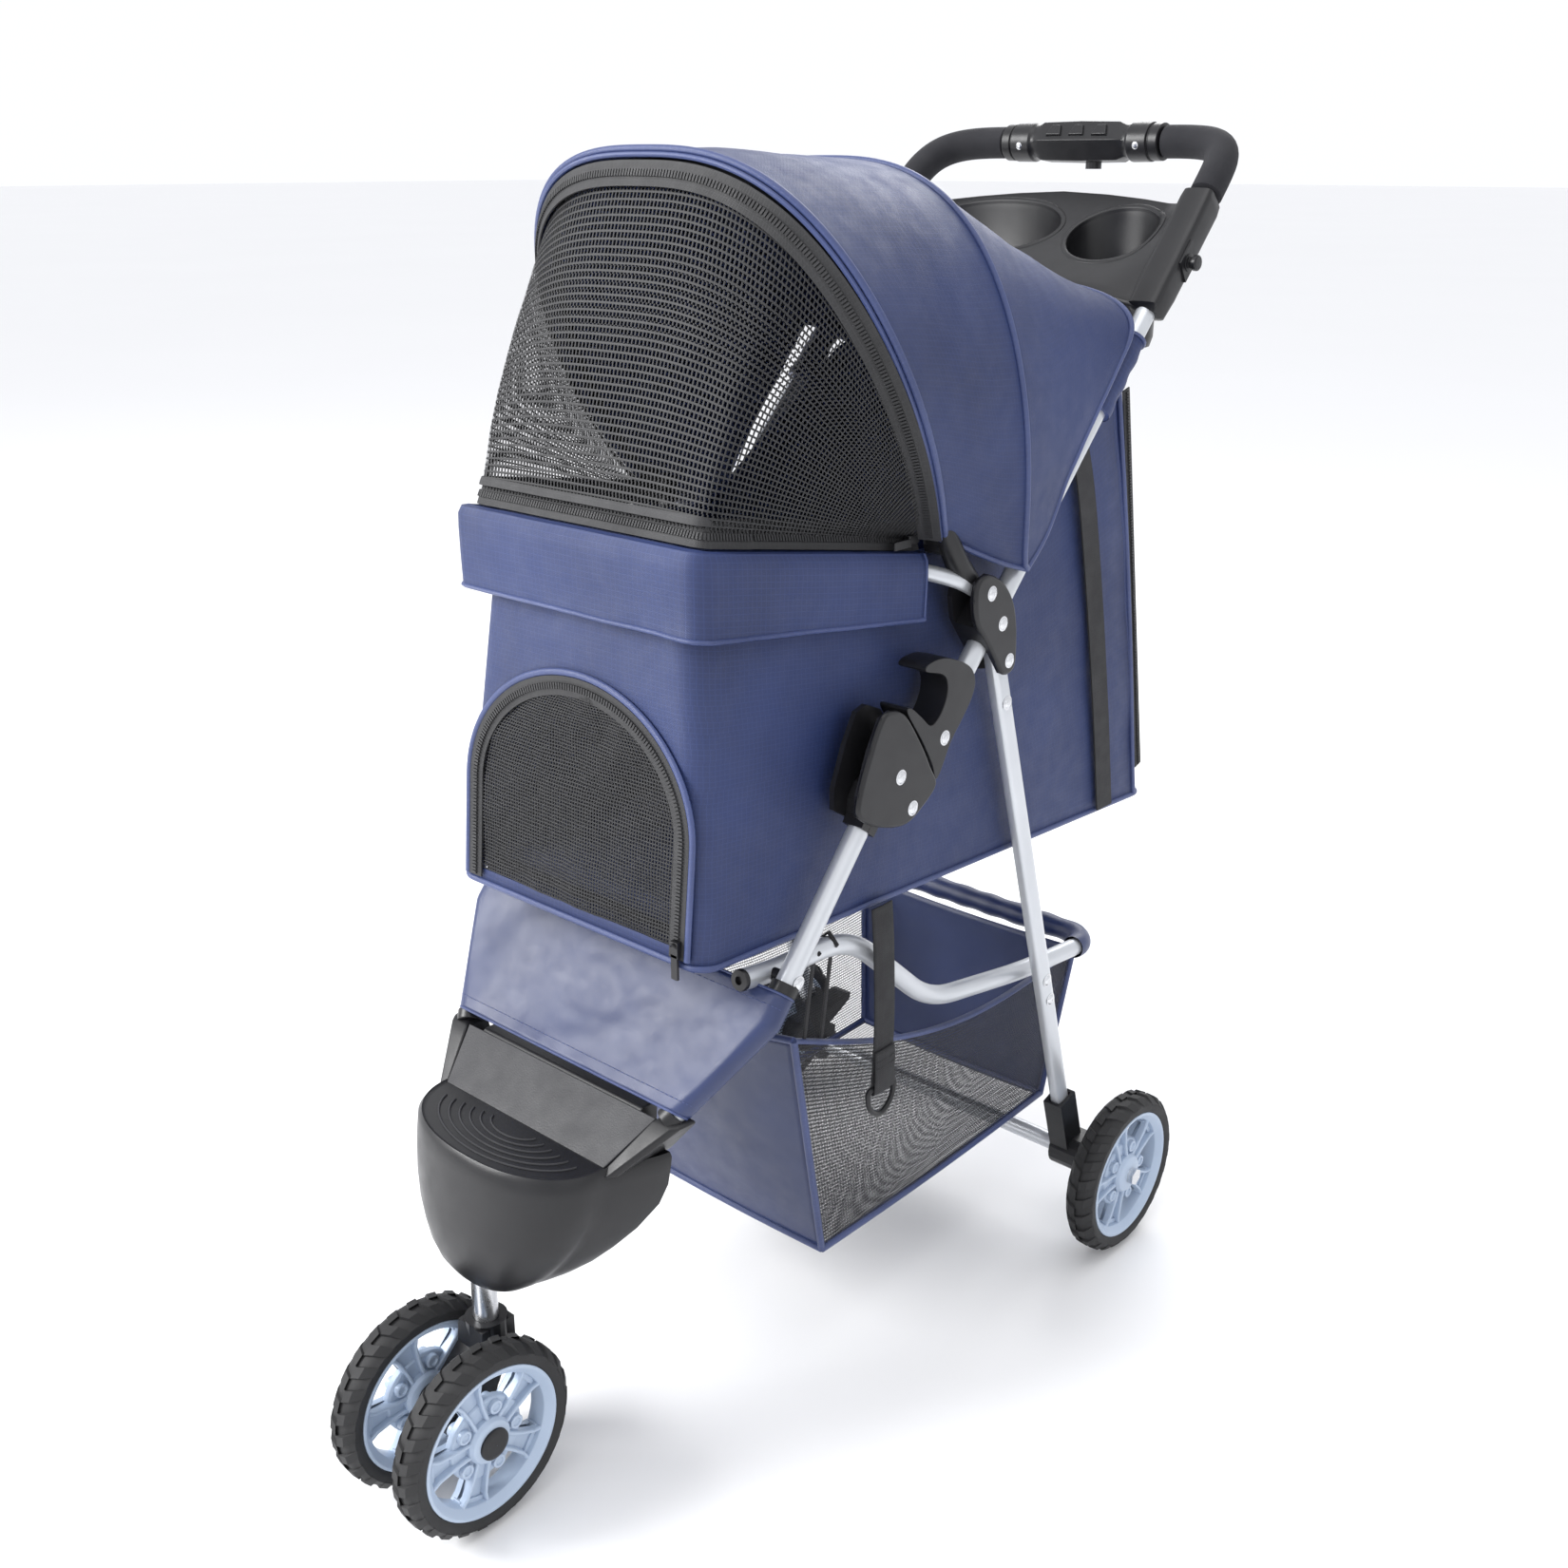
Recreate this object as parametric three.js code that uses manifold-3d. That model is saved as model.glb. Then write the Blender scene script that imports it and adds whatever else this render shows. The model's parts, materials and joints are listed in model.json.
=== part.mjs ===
// A folding three-wheeled pet stroller, in millimetres, with +Z up.
// The front wheels point to -Y, the handle to +Y, and +X is the left side of the person who pushes it.
// The origin is on the floor, under the middle of the stroller's bounding box.
import * as THREE from "three";
import { mergeVertices } from "three/addons/utils/BufferGeometryUtils.js";
import Module from "manifold-3d";

const wasm = await Module();
wasm.setup();

// ---- Driving dimensions -------------------------------------------------------------------------

const GAP = 0.3; // running gap between neighbouring pieces
const LENGTH = 868; // front tyre edge to the back of the grip

// Wheels.
const WHEEL_R = 75;
const RIM_R = 59.6;
const WHEEL_HALF_W = 14;
const FRONT_WHEEL_X = 37;
const REAR_WHEEL_X = 208;
const AXLE_R = 5;
const FRONT_AXLE_Y = -LENGTH / 2 + WHEEL_R;
const REAR_AXLE_Y = 243;
const STEM_Y = -321;
const STEM_R = 9.5;

// Frame tubes: both legs and the handle lie in one plane, the link tube just inside it.
const TUBE_R = 8;
const TUBE_WALL = 1.2;
const SIDE_X = 152;
const LINK_X = SIDE_X - 2 * TUBE_R - 5.6;
const PIN_R = 3;

// Pivots of the folding linkage, as [y, z].
const FOLD_PIVOT = [-49, 531];
const LINK_PIVOT = [-152, 404];
const LOOP_PIVOT = [180, 277];
const LEG_PIVOT = [84, 588];
const HOOP_PIVOT = [57, 645];
const BOW_PIVOT = [24, 684];
const DOOR_HINGE = [-218.5, 434];
const BRAKE_PIVOT = [266, 84];

const LEG_SLOPE = THREE.MathUtils.degToRad(50);
const HANDLE_SLOPE = THREE.MathUtils.degToRad(46.6);
const HANDLE_FOOT = [-34, 503];
const BAR_Z = 957;
const GRIP_R = 19;
const BAR_Y = LENGTH / 2 - GRIP_R;
const FOAM_R = 13.5;
const GRIP_HALF = 79;

// Footrest.
const STEP_Z = 284;
const FOOTREST_WALL = 3;

// Cabin, canopy and basket.
const CABIN_WALL = 3;
const CABIN_FRONT_Y = -217;
const CABIN_REAR_Y = 350;
const CABIN_FLOOR_FRONT_Z = 428;
const CABIN_FLOOR_REAR_Z = 402;
const CANOPY_WALL = 2.5;
const BASKET_WALL = 2.5;

// ---- Materials ----------------------------------------------------------------------------------

function material(color, roughness, metalness = 0) {
  return new THREE.MeshStandardMaterial({ color, roughness, metalness });
}

const silverPaint = material("#b9bdc4", 0.35, 0.6);
const steel = material("#d2d4d8", 0.25, 1);
const blackPlastic = material("#1c1c1f", 0.5);
const rimPlastic = material("#a9b6c6", 0.5);
const tyreRubber = material("#1d1d1e", 0.85);
const gripFoam = material("#26262b", 0.9);
const navyFabric = material("#2b3a6b", 0.85);
const navySatin = material("#3b4a86", 0.6);
const blackMesh = material("#15161a", 0.9);
const blackWebbing = material("#141417", 0.9);
const padFabric = material("#2a3560", 0.95);

// ---- Geometry helpers ---------------------------------------------------------------------------

const stroller = new THREE.Group();

function add(name, geometry, look) {
  const mesh = new THREE.Mesh(geometry, look);
  mesh.name = name;
  stroller.add(mesh);
  return mesh;
}

function mirrored(geometry) {
  const copy = geometry.index ? geometry.toNonIndexed() : geometry.clone();
  copy.scale(-1, 1, 1);
  const position = copy.getAttribute("position");
  const a = new THREE.Vector3();
  const b = new THREE.Vector3();
  for (let i = 0; i < position.count; i += 3) {
    a.fromBufferAttribute(position, i);
    b.fromBufferAttribute(position, i + 1);
    position.setXYZ(i, b.x, b.y, b.z);
    position.setXYZ(i + 1, a.x, a.y, a.z);
  }
  copy.computeVertexNormals();
  return copy;
}

// The piece is modelled on the left side, and its copy is its mirror image.
function addPair(name, geometry, look) {
  add(`${name}_left`, geometry, look);
  add(`${name}_right`, mirrored(geometry), look);
}

function solid(geometry) {
  const bare = new THREE.BufferGeometry();
  bare.setAttribute("position", geometry.getAttribute("position"));
  bare.setIndex(geometry.getIndex());
  const merged = mergeVertices(bare, 1e-4);
  return new wasm.Manifold(
    new wasm.Mesh({
      numProp: 3,
      vertProperties: merged.getAttribute("position").array,
      triVerts: new Uint32Array(merged.getIndex().array),
    }),
  );
}

function geometryOf(manifold) {
  const mesh = manifold.getMesh();
  const geometry = new THREE.BufferGeometry();
  geometry.setAttribute("position", new THREE.BufferAttribute(mesh.vertProperties, 3));
  geometry.setIndex(new THREE.BufferAttribute(mesh.triVerts, 1));
  geometry.computeVertexNormals();
  return geometry;
}

// Turns every face round if the skin encloses its space inside out.
function facingOut(geometry) {
  const skin = geometry.index ? geometry.toNonIndexed() : geometry;
  const position = skin.getAttribute("position");
  const corners = [0, 1, 2].map(() => new THREE.Vector3());
  let volume = 0;
  for (let i = 0; i < position.count; i += 3) {
    corners.forEach((corner, k) => corner.fromBufferAttribute(position, i + k));
    volume += corners[0].dot(corners[1].clone().cross(corners[2])) / 6;
  }
  return volume < 0 ? mirrored(geometry.clone().scale(-1, 1, 1)) : geometry;
}

function join(...pieces) {
  return geometryOf(pieces.map(solid).reduce((sum, piece) => sum.add(piece)));
}

function cut(piece, ...tools) {
  return geometryOf(tools.map(solid).reduce((rest, tool) => rest.subtract(tool), solid(piece)));
}

function meet(a, b) {
  return geometryOf(solid(a).intersect(solid(b)));
}

function box(x0, x1, y0, y1, z0, z1) {
  const geometry = new THREE.BoxGeometry(x1 - x0, y1 - y0, z1 - z0);
  return geometry.translate((x0 + x1) / 2, (y0 + y1) / 2, (z0 + z1) / 2);
}

// A cylinder along X, centred on (y, z).
function rodX(radius, x0, x1, y, z, sides = 16) {
  const geometry = new THREE.CylinderGeometry(radius, radius, x1 - x0, sides);
  return geometry.rotateZ(Math.PI / 2).translate((x0 + x1) / 2, y, z);
}

function rodZ(radius, z0, z1, x, y, sides = 20) {
  const geometry = new THREE.CylinderGeometry(radius, radius, z1 - z0, sides);
  return geometry.rotateX(Math.PI / 2).translate(x, y, (z0 + z1) / 2);
}

// A turned piece along X: profile holds [radius, x] pairs.
function turnedX(profile, y, z, sides = 32) {
  const points = profile.map(([radius, x]) => new THREE.Vector2(radius, -x));
  const turned = new THREE.LatheGeometry(points, sides).rotateZ(Math.PI / 2);
  return facingOut(turned.translate(0, y, z));
}

// A flat outline of [y, z] points, as thick as x0 to x1.
function plate(outline, x0, x1) {
  const shape = new THREE.Shape(outline.map(([y, z]) => new THREE.Vector2(y, z)));
  const geometry = new THREE.ExtrudeGeometry(shape, { depth: x1 - x0, bevelEnabled: false });
  geometry.applyMatrix4(new THREE.Matrix4().set(0, 0, 1, x0, 1, 0, 0, 0, 0, 1, 0, 0, 0, 0, 0, 1));
  return geometry;
}

function polygon(radius, sides) {
  const points = [];
  for (let i = 0; i < sides; i++) {
    const angle = (2 * Math.PI * i) / sides;
    points.push(new THREE.Vector2(radius * Math.cos(angle), radius * Math.sin(angle)));
  }
  return points;
}

// Straight runs between corners, each corner rounded in a few steps.
class BentPath extends THREE.Curve {
  constructor(corners, bend, steps = 5) {
    super();
    const points = corners.map((corner) => new THREE.Vector3(...corner));
    this.samples = [points[0]];
    for (let i = 1; i < points.length - 1; i++) {
      const back = points[i - 1].clone().sub(points[i]);
      const ahead = points[i + 1].clone().sub(points[i]);
      const reach = Math.min(bend, back.length() * 0.48, ahead.length() * 0.48);
      const start = points[i].clone().add(back.setLength(reach));
      const end = points[i].clone().add(ahead.setLength(reach));
      const corner = new THREE.QuadraticBezierCurve3(start, points[i], end);
      this.samples.push(...corner.getPoints(steps));
    }
    this.samples.push(points.at(-1));
  }

  getPoint(t) {
    const place = t * (this.samples.length - 1);
    const i = Math.min(Math.floor(place), this.samples.length - 2);
    return this.samples[i].clone().lerp(this.samples[i + 1], place - i);
  }

  getSpacedPoints() {
    return this.samples.map((sample) => sample.clone());
  }

  getTangentAt(u) {
    const i = Math.round(u * (this.samples.length - 1));
    const before = this.samples[Math.max(i - 1, 0)];
    const after = this.samples[Math.min(i + 1, this.samples.length - 1)];
    return after.clone().sub(before).normalize();
  }
}

// A tube along a path: hollow and open at both ends if it has a bore.
function tube(path, outer, bore = 0, sides = 8) {
  const shape = new THREE.Shape(polygon(outer, sides));
  if (bore) shape.holes.push(new THREE.Path(polygon(bore, sides)));
  const steps = path.samples ? path.samples.length - 1 : path.steps;
  return new THREE.ExtrudeGeometry(shape, { steps, extrudePath: path, bevelEnabled: false });
}

// The radius of a faceted bore whose flats still clear a rod of the given radius.
function clearOf(radius, gap = GAP, sides = 8) {
  return (radius + gap) / Math.cos(Math.PI / sides);
}

// A closed skin through rings of points that match one to one, with a fan over each end.
function loft(rings) {
  const count = rings[0].length;
  const positions = rings.flat().flatMap((point) => [point.x, point.y, point.z]);
  const index = [];
  for (let r = 0; r < rings.length - 1; r++) {
    for (let i = 0; i < count; i++) {
      const a = r * count + i;
      const b = r * count + ((i + 1) % count);
      index.push(a, b, b + count, a, b + count, a + count);
    }
  }
  for (const [ring, flip] of [[0, true], [rings.length - 1, false]]) {
    const middle = rings[ring].reduce((sum, p) => sum.add(p), new THREE.Vector3());
    middle.divideScalar(count);
    const hub = positions.length / 3;
    positions.push(middle.x, middle.y, middle.z);
    for (let i = 0; i < count; i++) {
      const a = ring * count + i;
      const b = ring * count + ((i + 1) % count);
      index.push(hub, flip ? b : a, flip ? a : b);
    }
  }
  const geometry = new THREE.BufferGeometry();
  geometry.setAttribute("position", new THREE.Float32BufferAttribute(positions, 3));
  geometry.setIndex(index);
  return facingOut(geometry);
}

// A round-cornered rectangle seen from above, anticlockwise: x within +-half, y from front to back.
// heightAt gives the height of each point of it.
function planRing(halfFront, halfRear, front, rear, corner, heightAt) {
  const points = [];
  const centres = [
    [halfRear - corner, rear - corner, 0],
    [-halfRear + corner, rear - corner, 1],
    [-halfFront + corner, front + corner, 2],
    [halfFront - corner, front + corner, 3],
  ];
  for (const [x, y, quarter] of centres) {
    for (let i = 0; i <= 3; i++) {
      const angle = ((quarter + i / 3) * Math.PI) / 2;
      const px = x + corner * Math.cos(angle);
      const py = y + corner * Math.sin(angle);
      points.push(new THREE.Vector3(px, py, heightAt(py)));
    }
    const next = centres[(quarter + 1) % 4];
    const angle = ((quarter + 1) * Math.PI) / 2;
    const from = [x + corner * Math.cos(angle), y + corner * Math.sin(angle)];
    const to = [next[0] + corner * Math.cos(angle), next[1] + corner * Math.sin(angle)];
    for (const t of [0.2, 0.4, 0.6, 0.8]) {
      const py = from[1] + (to[1] - from[1]) * t;
      points.push(new THREE.Vector3(from[0] + (to[0] - from[0]) * t, py, heightAt(py)));
    }
  }
  return points;
}

// A height that follows straight runs between [y, z] corners.
function heightLine(corners) {
  return (y) => {
    let i = 0;
    while (i < corners.length - 2 && y > corners[i + 1][0]) i++;
    const [y0, z0] = corners[i];
    const [y1, z1] = corners[i + 1];
    const t = THREE.MathUtils.clamp((y - y0) / (y1 - y0), 0, 1);
    return z0 + (z1 - z0) * t;
  };
}

// A pivot pin along X with a domed head at each end.
function pin([y, z], x0, x1) {
  const head = PIN_R + 2.6;
  return turnedX(
    [
      [0, x0 - 2.6],
      [head, x0 - 1],
      [head, x0],
      [PIN_R, x0],
      [PIN_R, x1],
      [head, x1],
      [head, x1 + 1],
      [0, x1 + 2.6],
    ],
    y,
    z,
    8,
  );
}

function pinHole([y, z], x0 = 100, x1 = 190) {
  return rodX(clearOf(PIN_R), x0, x1, y, z, 8);
}

// ---- Front legs and footrest --------------------------------------------------------------------

// A point on a front leg's line: run is the distance down from the fold pivot.
function onLeg(run, x = SIDE_X) {
  return [x, FOLD_PIVOT[0] - Math.cos(LEG_SLOPE) * run, FOLD_PIVOT[1] - Math.sin(LEG_SLOPE) * run];
}

const LEG_FOOT_X = 76;
const legPath = new BentPath([onLeg(-9), onLeg(198), onLeg(360, LEG_FOOT_X)], 40);
const legTube = tube(legPath, TUBE_R, TUBE_R - TUBE_WALL);
addPair("front_leg", cut(legTube, pinHole(FOLD_PIVOT), pinHole(LINK_PIVOT)), silverPaint);

// The cap over the leg's upper end fills the knuckle's slot; side is forward of the leg's line.
function besideLeg(run, side) {
  const [, y, z] = onLeg(run);
  return [y - Math.sin(LEG_SLOPE) * side, z + Math.cos(LEG_SLOPE) * side];
}

const capOutline = [
  besideLeg(-11, -8.6),
  besideLeg(-11, 8.6),
  besideLeg(4, 9.5),
  besideLeg(16, 17),
  besideLeg(30, 16),
  besideLeg(38, 10),
  besideLeg(46, 9),
  besideLeg(46, -8.9),
];
const legBore = tube(new BentPath([onLeg(-9 - GAP), onLeg(80)], 1), clearOf(TUBE_R));
addPair(
  "leg_cap",
  cut(plate(capOutline, SIDE_X - 8.9, SIDE_X + 8.9), legBore, pinHole(FOLD_PIVOT)),
  blackPlastic,
);

// The footrest: a deep rounded skirt under a half-round step, with a riser between two side rails.
function footrestBody(inset) {
  const profile = [
    [-241 + inset * 0.2, 314 - inset],
    [-277 + inset * 0.8, STEP_Z - inset],
    [-352 + inset, STEP_Z - inset],
    [-352 + inset, 196],
    [-342 + inset, 180],
    [-330, 174 + inset],
    [-300, 174 + inset],
    [-216, 262 + inset * 0.4],
    [-222 - inset, 314 - inset],
  ];
  if (inset) {
    profile.splice(5, 4, [-330, 174 + inset], [-296, 174 + inset], [-200, 240], [-200, 314 - inset]);
  }
  // Height, half width at the round front and at the rear, and the front's y.
  const levels = [
    [170, 30, 36, -334],
    [186, 48, 56, -340],
    [200, 63, 74, -343],
    [220, 77, 92, -343],
    [245, 88, 106, -340],
    [STEP_Z, 93, 122, -334],
    [320, 99, 142, -326],
  ];
  const rings = levels.map(([z, half, rear, front]) =>
    planRing(half - inset, rear - inset, front + inset, -190, half * 0.6 - inset, () => z),
  );
  return meet(plate(profile, -132, 132), loft(rings));
}

// The riser is sunk between the rails, which spread as they climb.
const riserRecess = loft(
  [
    [STEP_Z + 0.6, 80, -268.5],
    [330, 99, -214],
  ].map(([z, half, back]) => [
    new THREE.Vector3(-half, -285, z),
    new THREE.Vector3(half, -285, z),
    new THREE.Vector3(half, back, z),
    new THREE.Vector3(-half, back, z),
  ]),
);
const legSleeves = [SIDE_X, -SIDE_X].map((x) => {
  const foot = Math.sign(x) * LEG_FOOT_X;
  const path = new BentPath([onLeg(-9, x), onLeg(198, x), onLeg(362, foot)], 40);
  return tube(path, clearOf(TUBE_R, 0.6));
});
const stemHole = rodZ(STEM_R + 0.5, 160, 262, 0, STEM_Y);
const footrestShell = cut(
  join(cut(footrestBody(0), footrestBody(FOOTREST_WALL)), rodZ(15, 174.5, 250, 0, STEM_Y)),
  riserRecess,
);
const riserWall = plate(
  [
    [-236, 312],
    [-274.5, 280],
    [-272, 277],
    [-232, 311],
  ],
  -84,
  84,
);
add("footrest", cut(join(footrestShell, riserWall), ...legSleeves, stemHole), blackPlastic);

// The steel crossbar inside the footrest, which carries the stem between the two legs.
const [, FOOT_Y, FOOT_Z] = onLeg(360);
add(
  "stem_crossbar",
  box(-LEG_FOOT_X + 10.5, LEG_FOOT_X - 10.5, FOOT_Y - 9, FOOT_Y + 7, FOOT_Z - 7, FOOT_Z + 3),
  steel,
);

// The fabric panel stretched between the legs above the footrest.
function panelRing(run, half) {
  const ring = [];
  for (const [side, sign] of [[1.2, 1], [1.2, -1], [-1.2, -1], [-1.2, 1]]) {
    const [y, z] = besideLeg(run, side);
    ring.push(new THREE.Vector3(sign * half, y, z));
  }
  return ring;
}
const panelRuns = [196, 224, 252, 278];
const panelHalf = (run) => SIDE_X - ((SIDE_X - LEG_FOOT_X) * Math.max(run - 190, 0)) / 170 - 12;
add("front_panel", loft(panelRuns.map((run) => panelRing(run, panelHalf(run)))), navySatin);

// ---- Swivel fork and front wheels ---------------------------------------------------------------

const forkOutline = [
  [STEM_Y + 15, 138],
  [STEM_Y - 15, 138],
  [STEM_Y - 17, 120],
  [FRONT_AXLE_Y - 12, 88],
  [FRONT_AXLE_Y - 15, 75],
  [FRONT_AXLE_Y - 9, 62],
  [FRONT_AXLE_Y + 6, 60],
  [FRONT_AXLE_Y + 17, 72],
  [STEM_Y + 15, 108],
];
const forkBody = join(plate(forkOutline, -14, 14), rodZ(16, 112, 140, 0, STEM_Y));
const axleHole = rodX(AXLE_R + GAP, -40, 40, FRONT_AXLE_Y, WHEEL_R);
add("fork", cut(forkBody, axleHole, rodZ(STEM_R + GAP, 116, 145, 0, STEM_Y)), blackPlastic);
add("fork_stem", rodZ(STEM_R, 117, 244, 0, STEM_Y), steel);

// The front axle has a domed cap pressed on each end.
const axleCap = (side) => {
  const face = side * (FRONT_WHEEL_X + 12.3);
  const profile = [
    [0, face],
    [13, face],
    [12, face + side * 2.7],
    [0, face + side * 3.7],
  ];
  return turnedX(side > 0 ? profile : profile.toReversed(), FRONT_AXLE_Y, WHEEL_R, 20);
};
const frontRod = rodX(AXLE_R, -50, 50, FRONT_AXLE_Y, WHEEL_R);
add("front_axle", join(frontRod, axleCap(1), axleCap(-1)), steel);

// A tyre centred on x, with a flat crown between two rounded shoulders.
function tyre(x, y) {
  const half = WHEEL_HALF_W;
  const profile = [
    [RIM_R + GAP, x - half + 2],
    [RIM_R + 5, x - half],
    [WHEEL_R - 2, x - half + 4],
    [WHEEL_R, x - half + 10],
    [WHEEL_R, x + half - 10],
    [WHEEL_R - 2, x + half - 4],
    [RIM_R + 5, x + half],
    [RIM_R + GAP, x + half - 2],
    [RIM_R + GAP, x - half + 2],
  ];
  return turnedX(profile, y, WHEEL_R, 32);
}

// A rim with a channel ring, a hub and five double spokes.
function rim(x, y) {
  const half = WHEEL_HALF_W - 2;
  const ring = turnedX(
    [
      [51, x - half + 2],
      [RIM_R, x - half],
      [RIM_R, x + half],
      [51, x + half - 2],
      [51, x - half + 2],
    ],
    y,
    WHEEL_R,
    24,
  );
  const hub = rodX(17, x - half, x + half, y, WHEEL_R, 15);
  const spokes = [];
  for (let i = 0; i < 5; i++) {
    for (const side of [-6.5, 6.5]) {
      const bar = box(x - 5, x + 5, side - 2.6, side + 2.6, 12, 53);
      bar.rotateX((2 * Math.PI * i) / 5);
      spokes.push(bar.translate(0, y, WHEEL_R));
    }
  }
  return cut(join(ring, hub, ...spokes), rodX(AXLE_R + GAP, x - 30, x + 30, y, WHEEL_R));
}

addPair("front_tyre", tyre(FRONT_WHEEL_X, FRONT_AXLE_Y), tyreRubber);
addPair("front_rim", rim(FRONT_WHEEL_X, FRONT_AXLE_Y), rimPlastic);

// ---- Handle, knuckles and hinge blocks ----------------------------------------------------------

// A point on the handle's straight line: run is the distance up from its foot.
function onHandle(run, x = SIDE_X) {
  const y = HANDLE_FOOT[0] + Math.cos(HANDLE_SLOPE) * run;
  const z = HANDLE_FOOT[1] + Math.sin(HANDLE_SLOPE) * run;
  return [x, y, z];
}

const HANDLE_STRAIGHT = 592;
const FOAM_START = 567;
const BEND_SAMPLES = 6; // path samples on each rounded corner
const handleCorners = [
  onHandle(-6),
  onHandle(HANDLE_STRAIGHT),
  [SIDE_X, BAR_Y, BAR_Z],
  [-SIDE_X, BAR_Y, BAR_Z],
  onHandle(HANDLE_STRAIGHT, -SIDE_X),
  onHandle(-6, -SIDE_X),
];
const handlePath = new BentPath(handleCorners, 44);
const blockPin = onHandle(157).slice(1);
const knucklePin = HANDLE_FOOT;
const handleTube = tube(handlePath, TUBE_R, TUBE_R - TUBE_WALL);
const handleHoles = [blockPin, knucklePin].flatMap((place) => [
  pinHole(place, 130, 175),
  pinHole(place, -175, -130),
]);
add("handle_tube", cut(handleTube, ...handleHoles), silverPaint);
const handleBore = tube(new BentPath([onHandle(-6 - GAP), onHandle(500)], 1), clearOf(TUBE_R));

// A clevis: two cheeks, joined by a web between them.
function clevis(outline, web, cheek, half) {
  const inner = plate(outline, SIDE_X - half, SIDE_X - half + cheek);
  const outer = plate(outline, SIDE_X + half - cheek, SIDE_X + half);
  const overlap = 0.5;
  const core = meet(
    plate(outline, SIDE_X - half + cheek - overlap, SIDE_X + half - cheek + overlap),
    plate(web, SIDE_X - half, SIDE_X + half),
  );
  return join(inner, outer, core);
}

const knuckleOutline = [
  [-60, 583],
  [-71, 580],
  [-83, 559],
  [-95, 529],
  [-95, 513],
  [-76, 501],
  [-57, 494],
  [-39, 492],
  [-22, 499],
  [-5, 513],
  [-13, 530],
  [-26, 552],
  [-44, 576],
];
const knuckleWeb = [
  besideLeg(70, -9.5),
  besideLeg(14, -9.5),
  besideLeg(4, -16),
  besideLeg(2, -60),
  besideLeg(70, -60),
];
addPair(
  "knuckle",
  cut(
    clevis(knuckleOutline, knuckleWeb, 4, 13.2),
    handleBore,
    pinHole(FOLD_PIVOT),
    pinHole(knucklePin),
  ),
  blackPlastic,
);

const blockOutline = [
  [40, 656],
  [53, 660],
  [72, 651],
  [86, 635],
  [92, 617],
  [94, 596],
  [93, 583],
  [86, 577],
  [76, 579],
  [66, 592],
  [57, 604],
  [48, 615],
  [40, 626],
  [37, 643],
];
const blockWeb = [
  [66 - 12, 592 - 12 + 10],
  [106 - 12, 632 - 12 + 10],
  [106 - 32, 632 + 20],
  [66 - 32, 592 + 20],
];
// The hoop turns on a boss that is moulded across the block's two cheeks.
const hoopBoss = pin(HOOP_PIVOT, SIDE_X - 12.2, SIDE_X + 12.2);
const blockBody = cut(
  clevis(blockOutline, blockWeb, 4, 12.2),
  handleBore,
  pinHole(LEG_PIVOT),
  pinHole(blockPin),
);
addPair("hinge_block", join(blockBody, hoopBoss), blackPlastic);

addPair("fold_pin", pin(FOLD_PIVOT, SIDE_X - 13.5, SIDE_X + 13.5), steel);
addPair("leg_pin", pin(LEG_PIVOT, SIDE_X - 12.5, SIDE_X + 12.5), steel);
addPair("link_pin", pin(LINK_PIVOT, LINK_X - TUBE_R - GAP, SIDE_X + TUBE_R + GAP), steel);

// The latch: a finger hook that slides up the handle tube to free the knuckle.
const latchOutline = [
  [-2, 516],
  [14, 541],
  [27, 555],
  [39, 570],
  [42, 582],
  [36, 593],
  [20, 602],
  [0, 608],
  [-17, 607],
  [-19, 602],
  [0, 596],
  [7, 588],
  [6, 576],
  [-2, 564],
  [-12, 560],
  [-23, 569],
  [-36, 579],
  [-40, 576],
  [-22, 551],
  [-9, 530],
];
const latchBore = tube(new BentPath([onHandle(-7), onHandle(300)], 1), clearOf(TUBE_R, 0.6));
addPair(
  "latch",
  cut(plate(latchOutline, SIDE_X - 13.2, SIDE_X + 13.2), latchBore),
  blackPlastic,
);

// Foam sleeves from the tray round both bends to the centre grip.
const foamPath = new BentPath([onHandle(FOAM_START), [GRIP_HALF + 0.5, BAR_Y, BAR_Z]], 1);
const bendSamples = handlePath.samples.slice(1, 2 * BEND_SAMPLES + 1);
foamPath.samples.splice(1, 0, ...bendSamples);
addPair("foam_grip", tube(foamPath, FOAM_R, clearOf(TUBE_R)), gripFoam);

const BUTTON_R = 7;
const BUTTON_X = 10;
const gripProfile = [
  [TUBE_R + GAP, -GRIP_HALF],
  [15.5, -GRIP_HALF],
  [15.5, -GRIP_HALF + 8],
  [14.5, -GRIP_HALF + 9],
  [15, -GRIP_HALF + 24],
  [GRIP_R, -GRIP_HALF + 36],
  [GRIP_R, GRIP_HALF - 36],
  [15, GRIP_HALF - 24],
  [14.5, GRIP_HALF - 9],
  [15.5, GRIP_HALF - 8],
  [15.5, GRIP_HALF],
  [TUBE_R + GAP, GRIP_HALF],
  [TUBE_R + GAP, -GRIP_HALF],
];
const buttonWell = rodZ(BUTTON_R + 0.4, BAR_Z - 30, BAR_Z - 6, BUTTON_X, BAR_Y, 16);
add("centre_grip", cut(turnedX(gripProfile, BAR_Y, BAR_Z, 24), buttonWell), blackPlastic);
add(
  "grip_button",
  rodZ(BUTTON_R, BAR_Z - GRIP_R - 3, BAR_Z - 11.5, BUTTON_X, BAR_Y, 16),
  blackPlastic,
);

// ---- Tray ---------------------------------------------------------------------------------------

// The tray lies in the plane of the handle tubes at its arms and is flatter between them.
const ARM_LOW = 450;
const ARM_HIGH = 564;
const TRAY_PLATE = 4;
const CUP = { x: 82, y: 334, halfX: 40, halfY: 32, floor: 796 };
const BIN = { x: -48, y: 338, halfX: 74, halfY: 34, floor: 812 };

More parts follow.
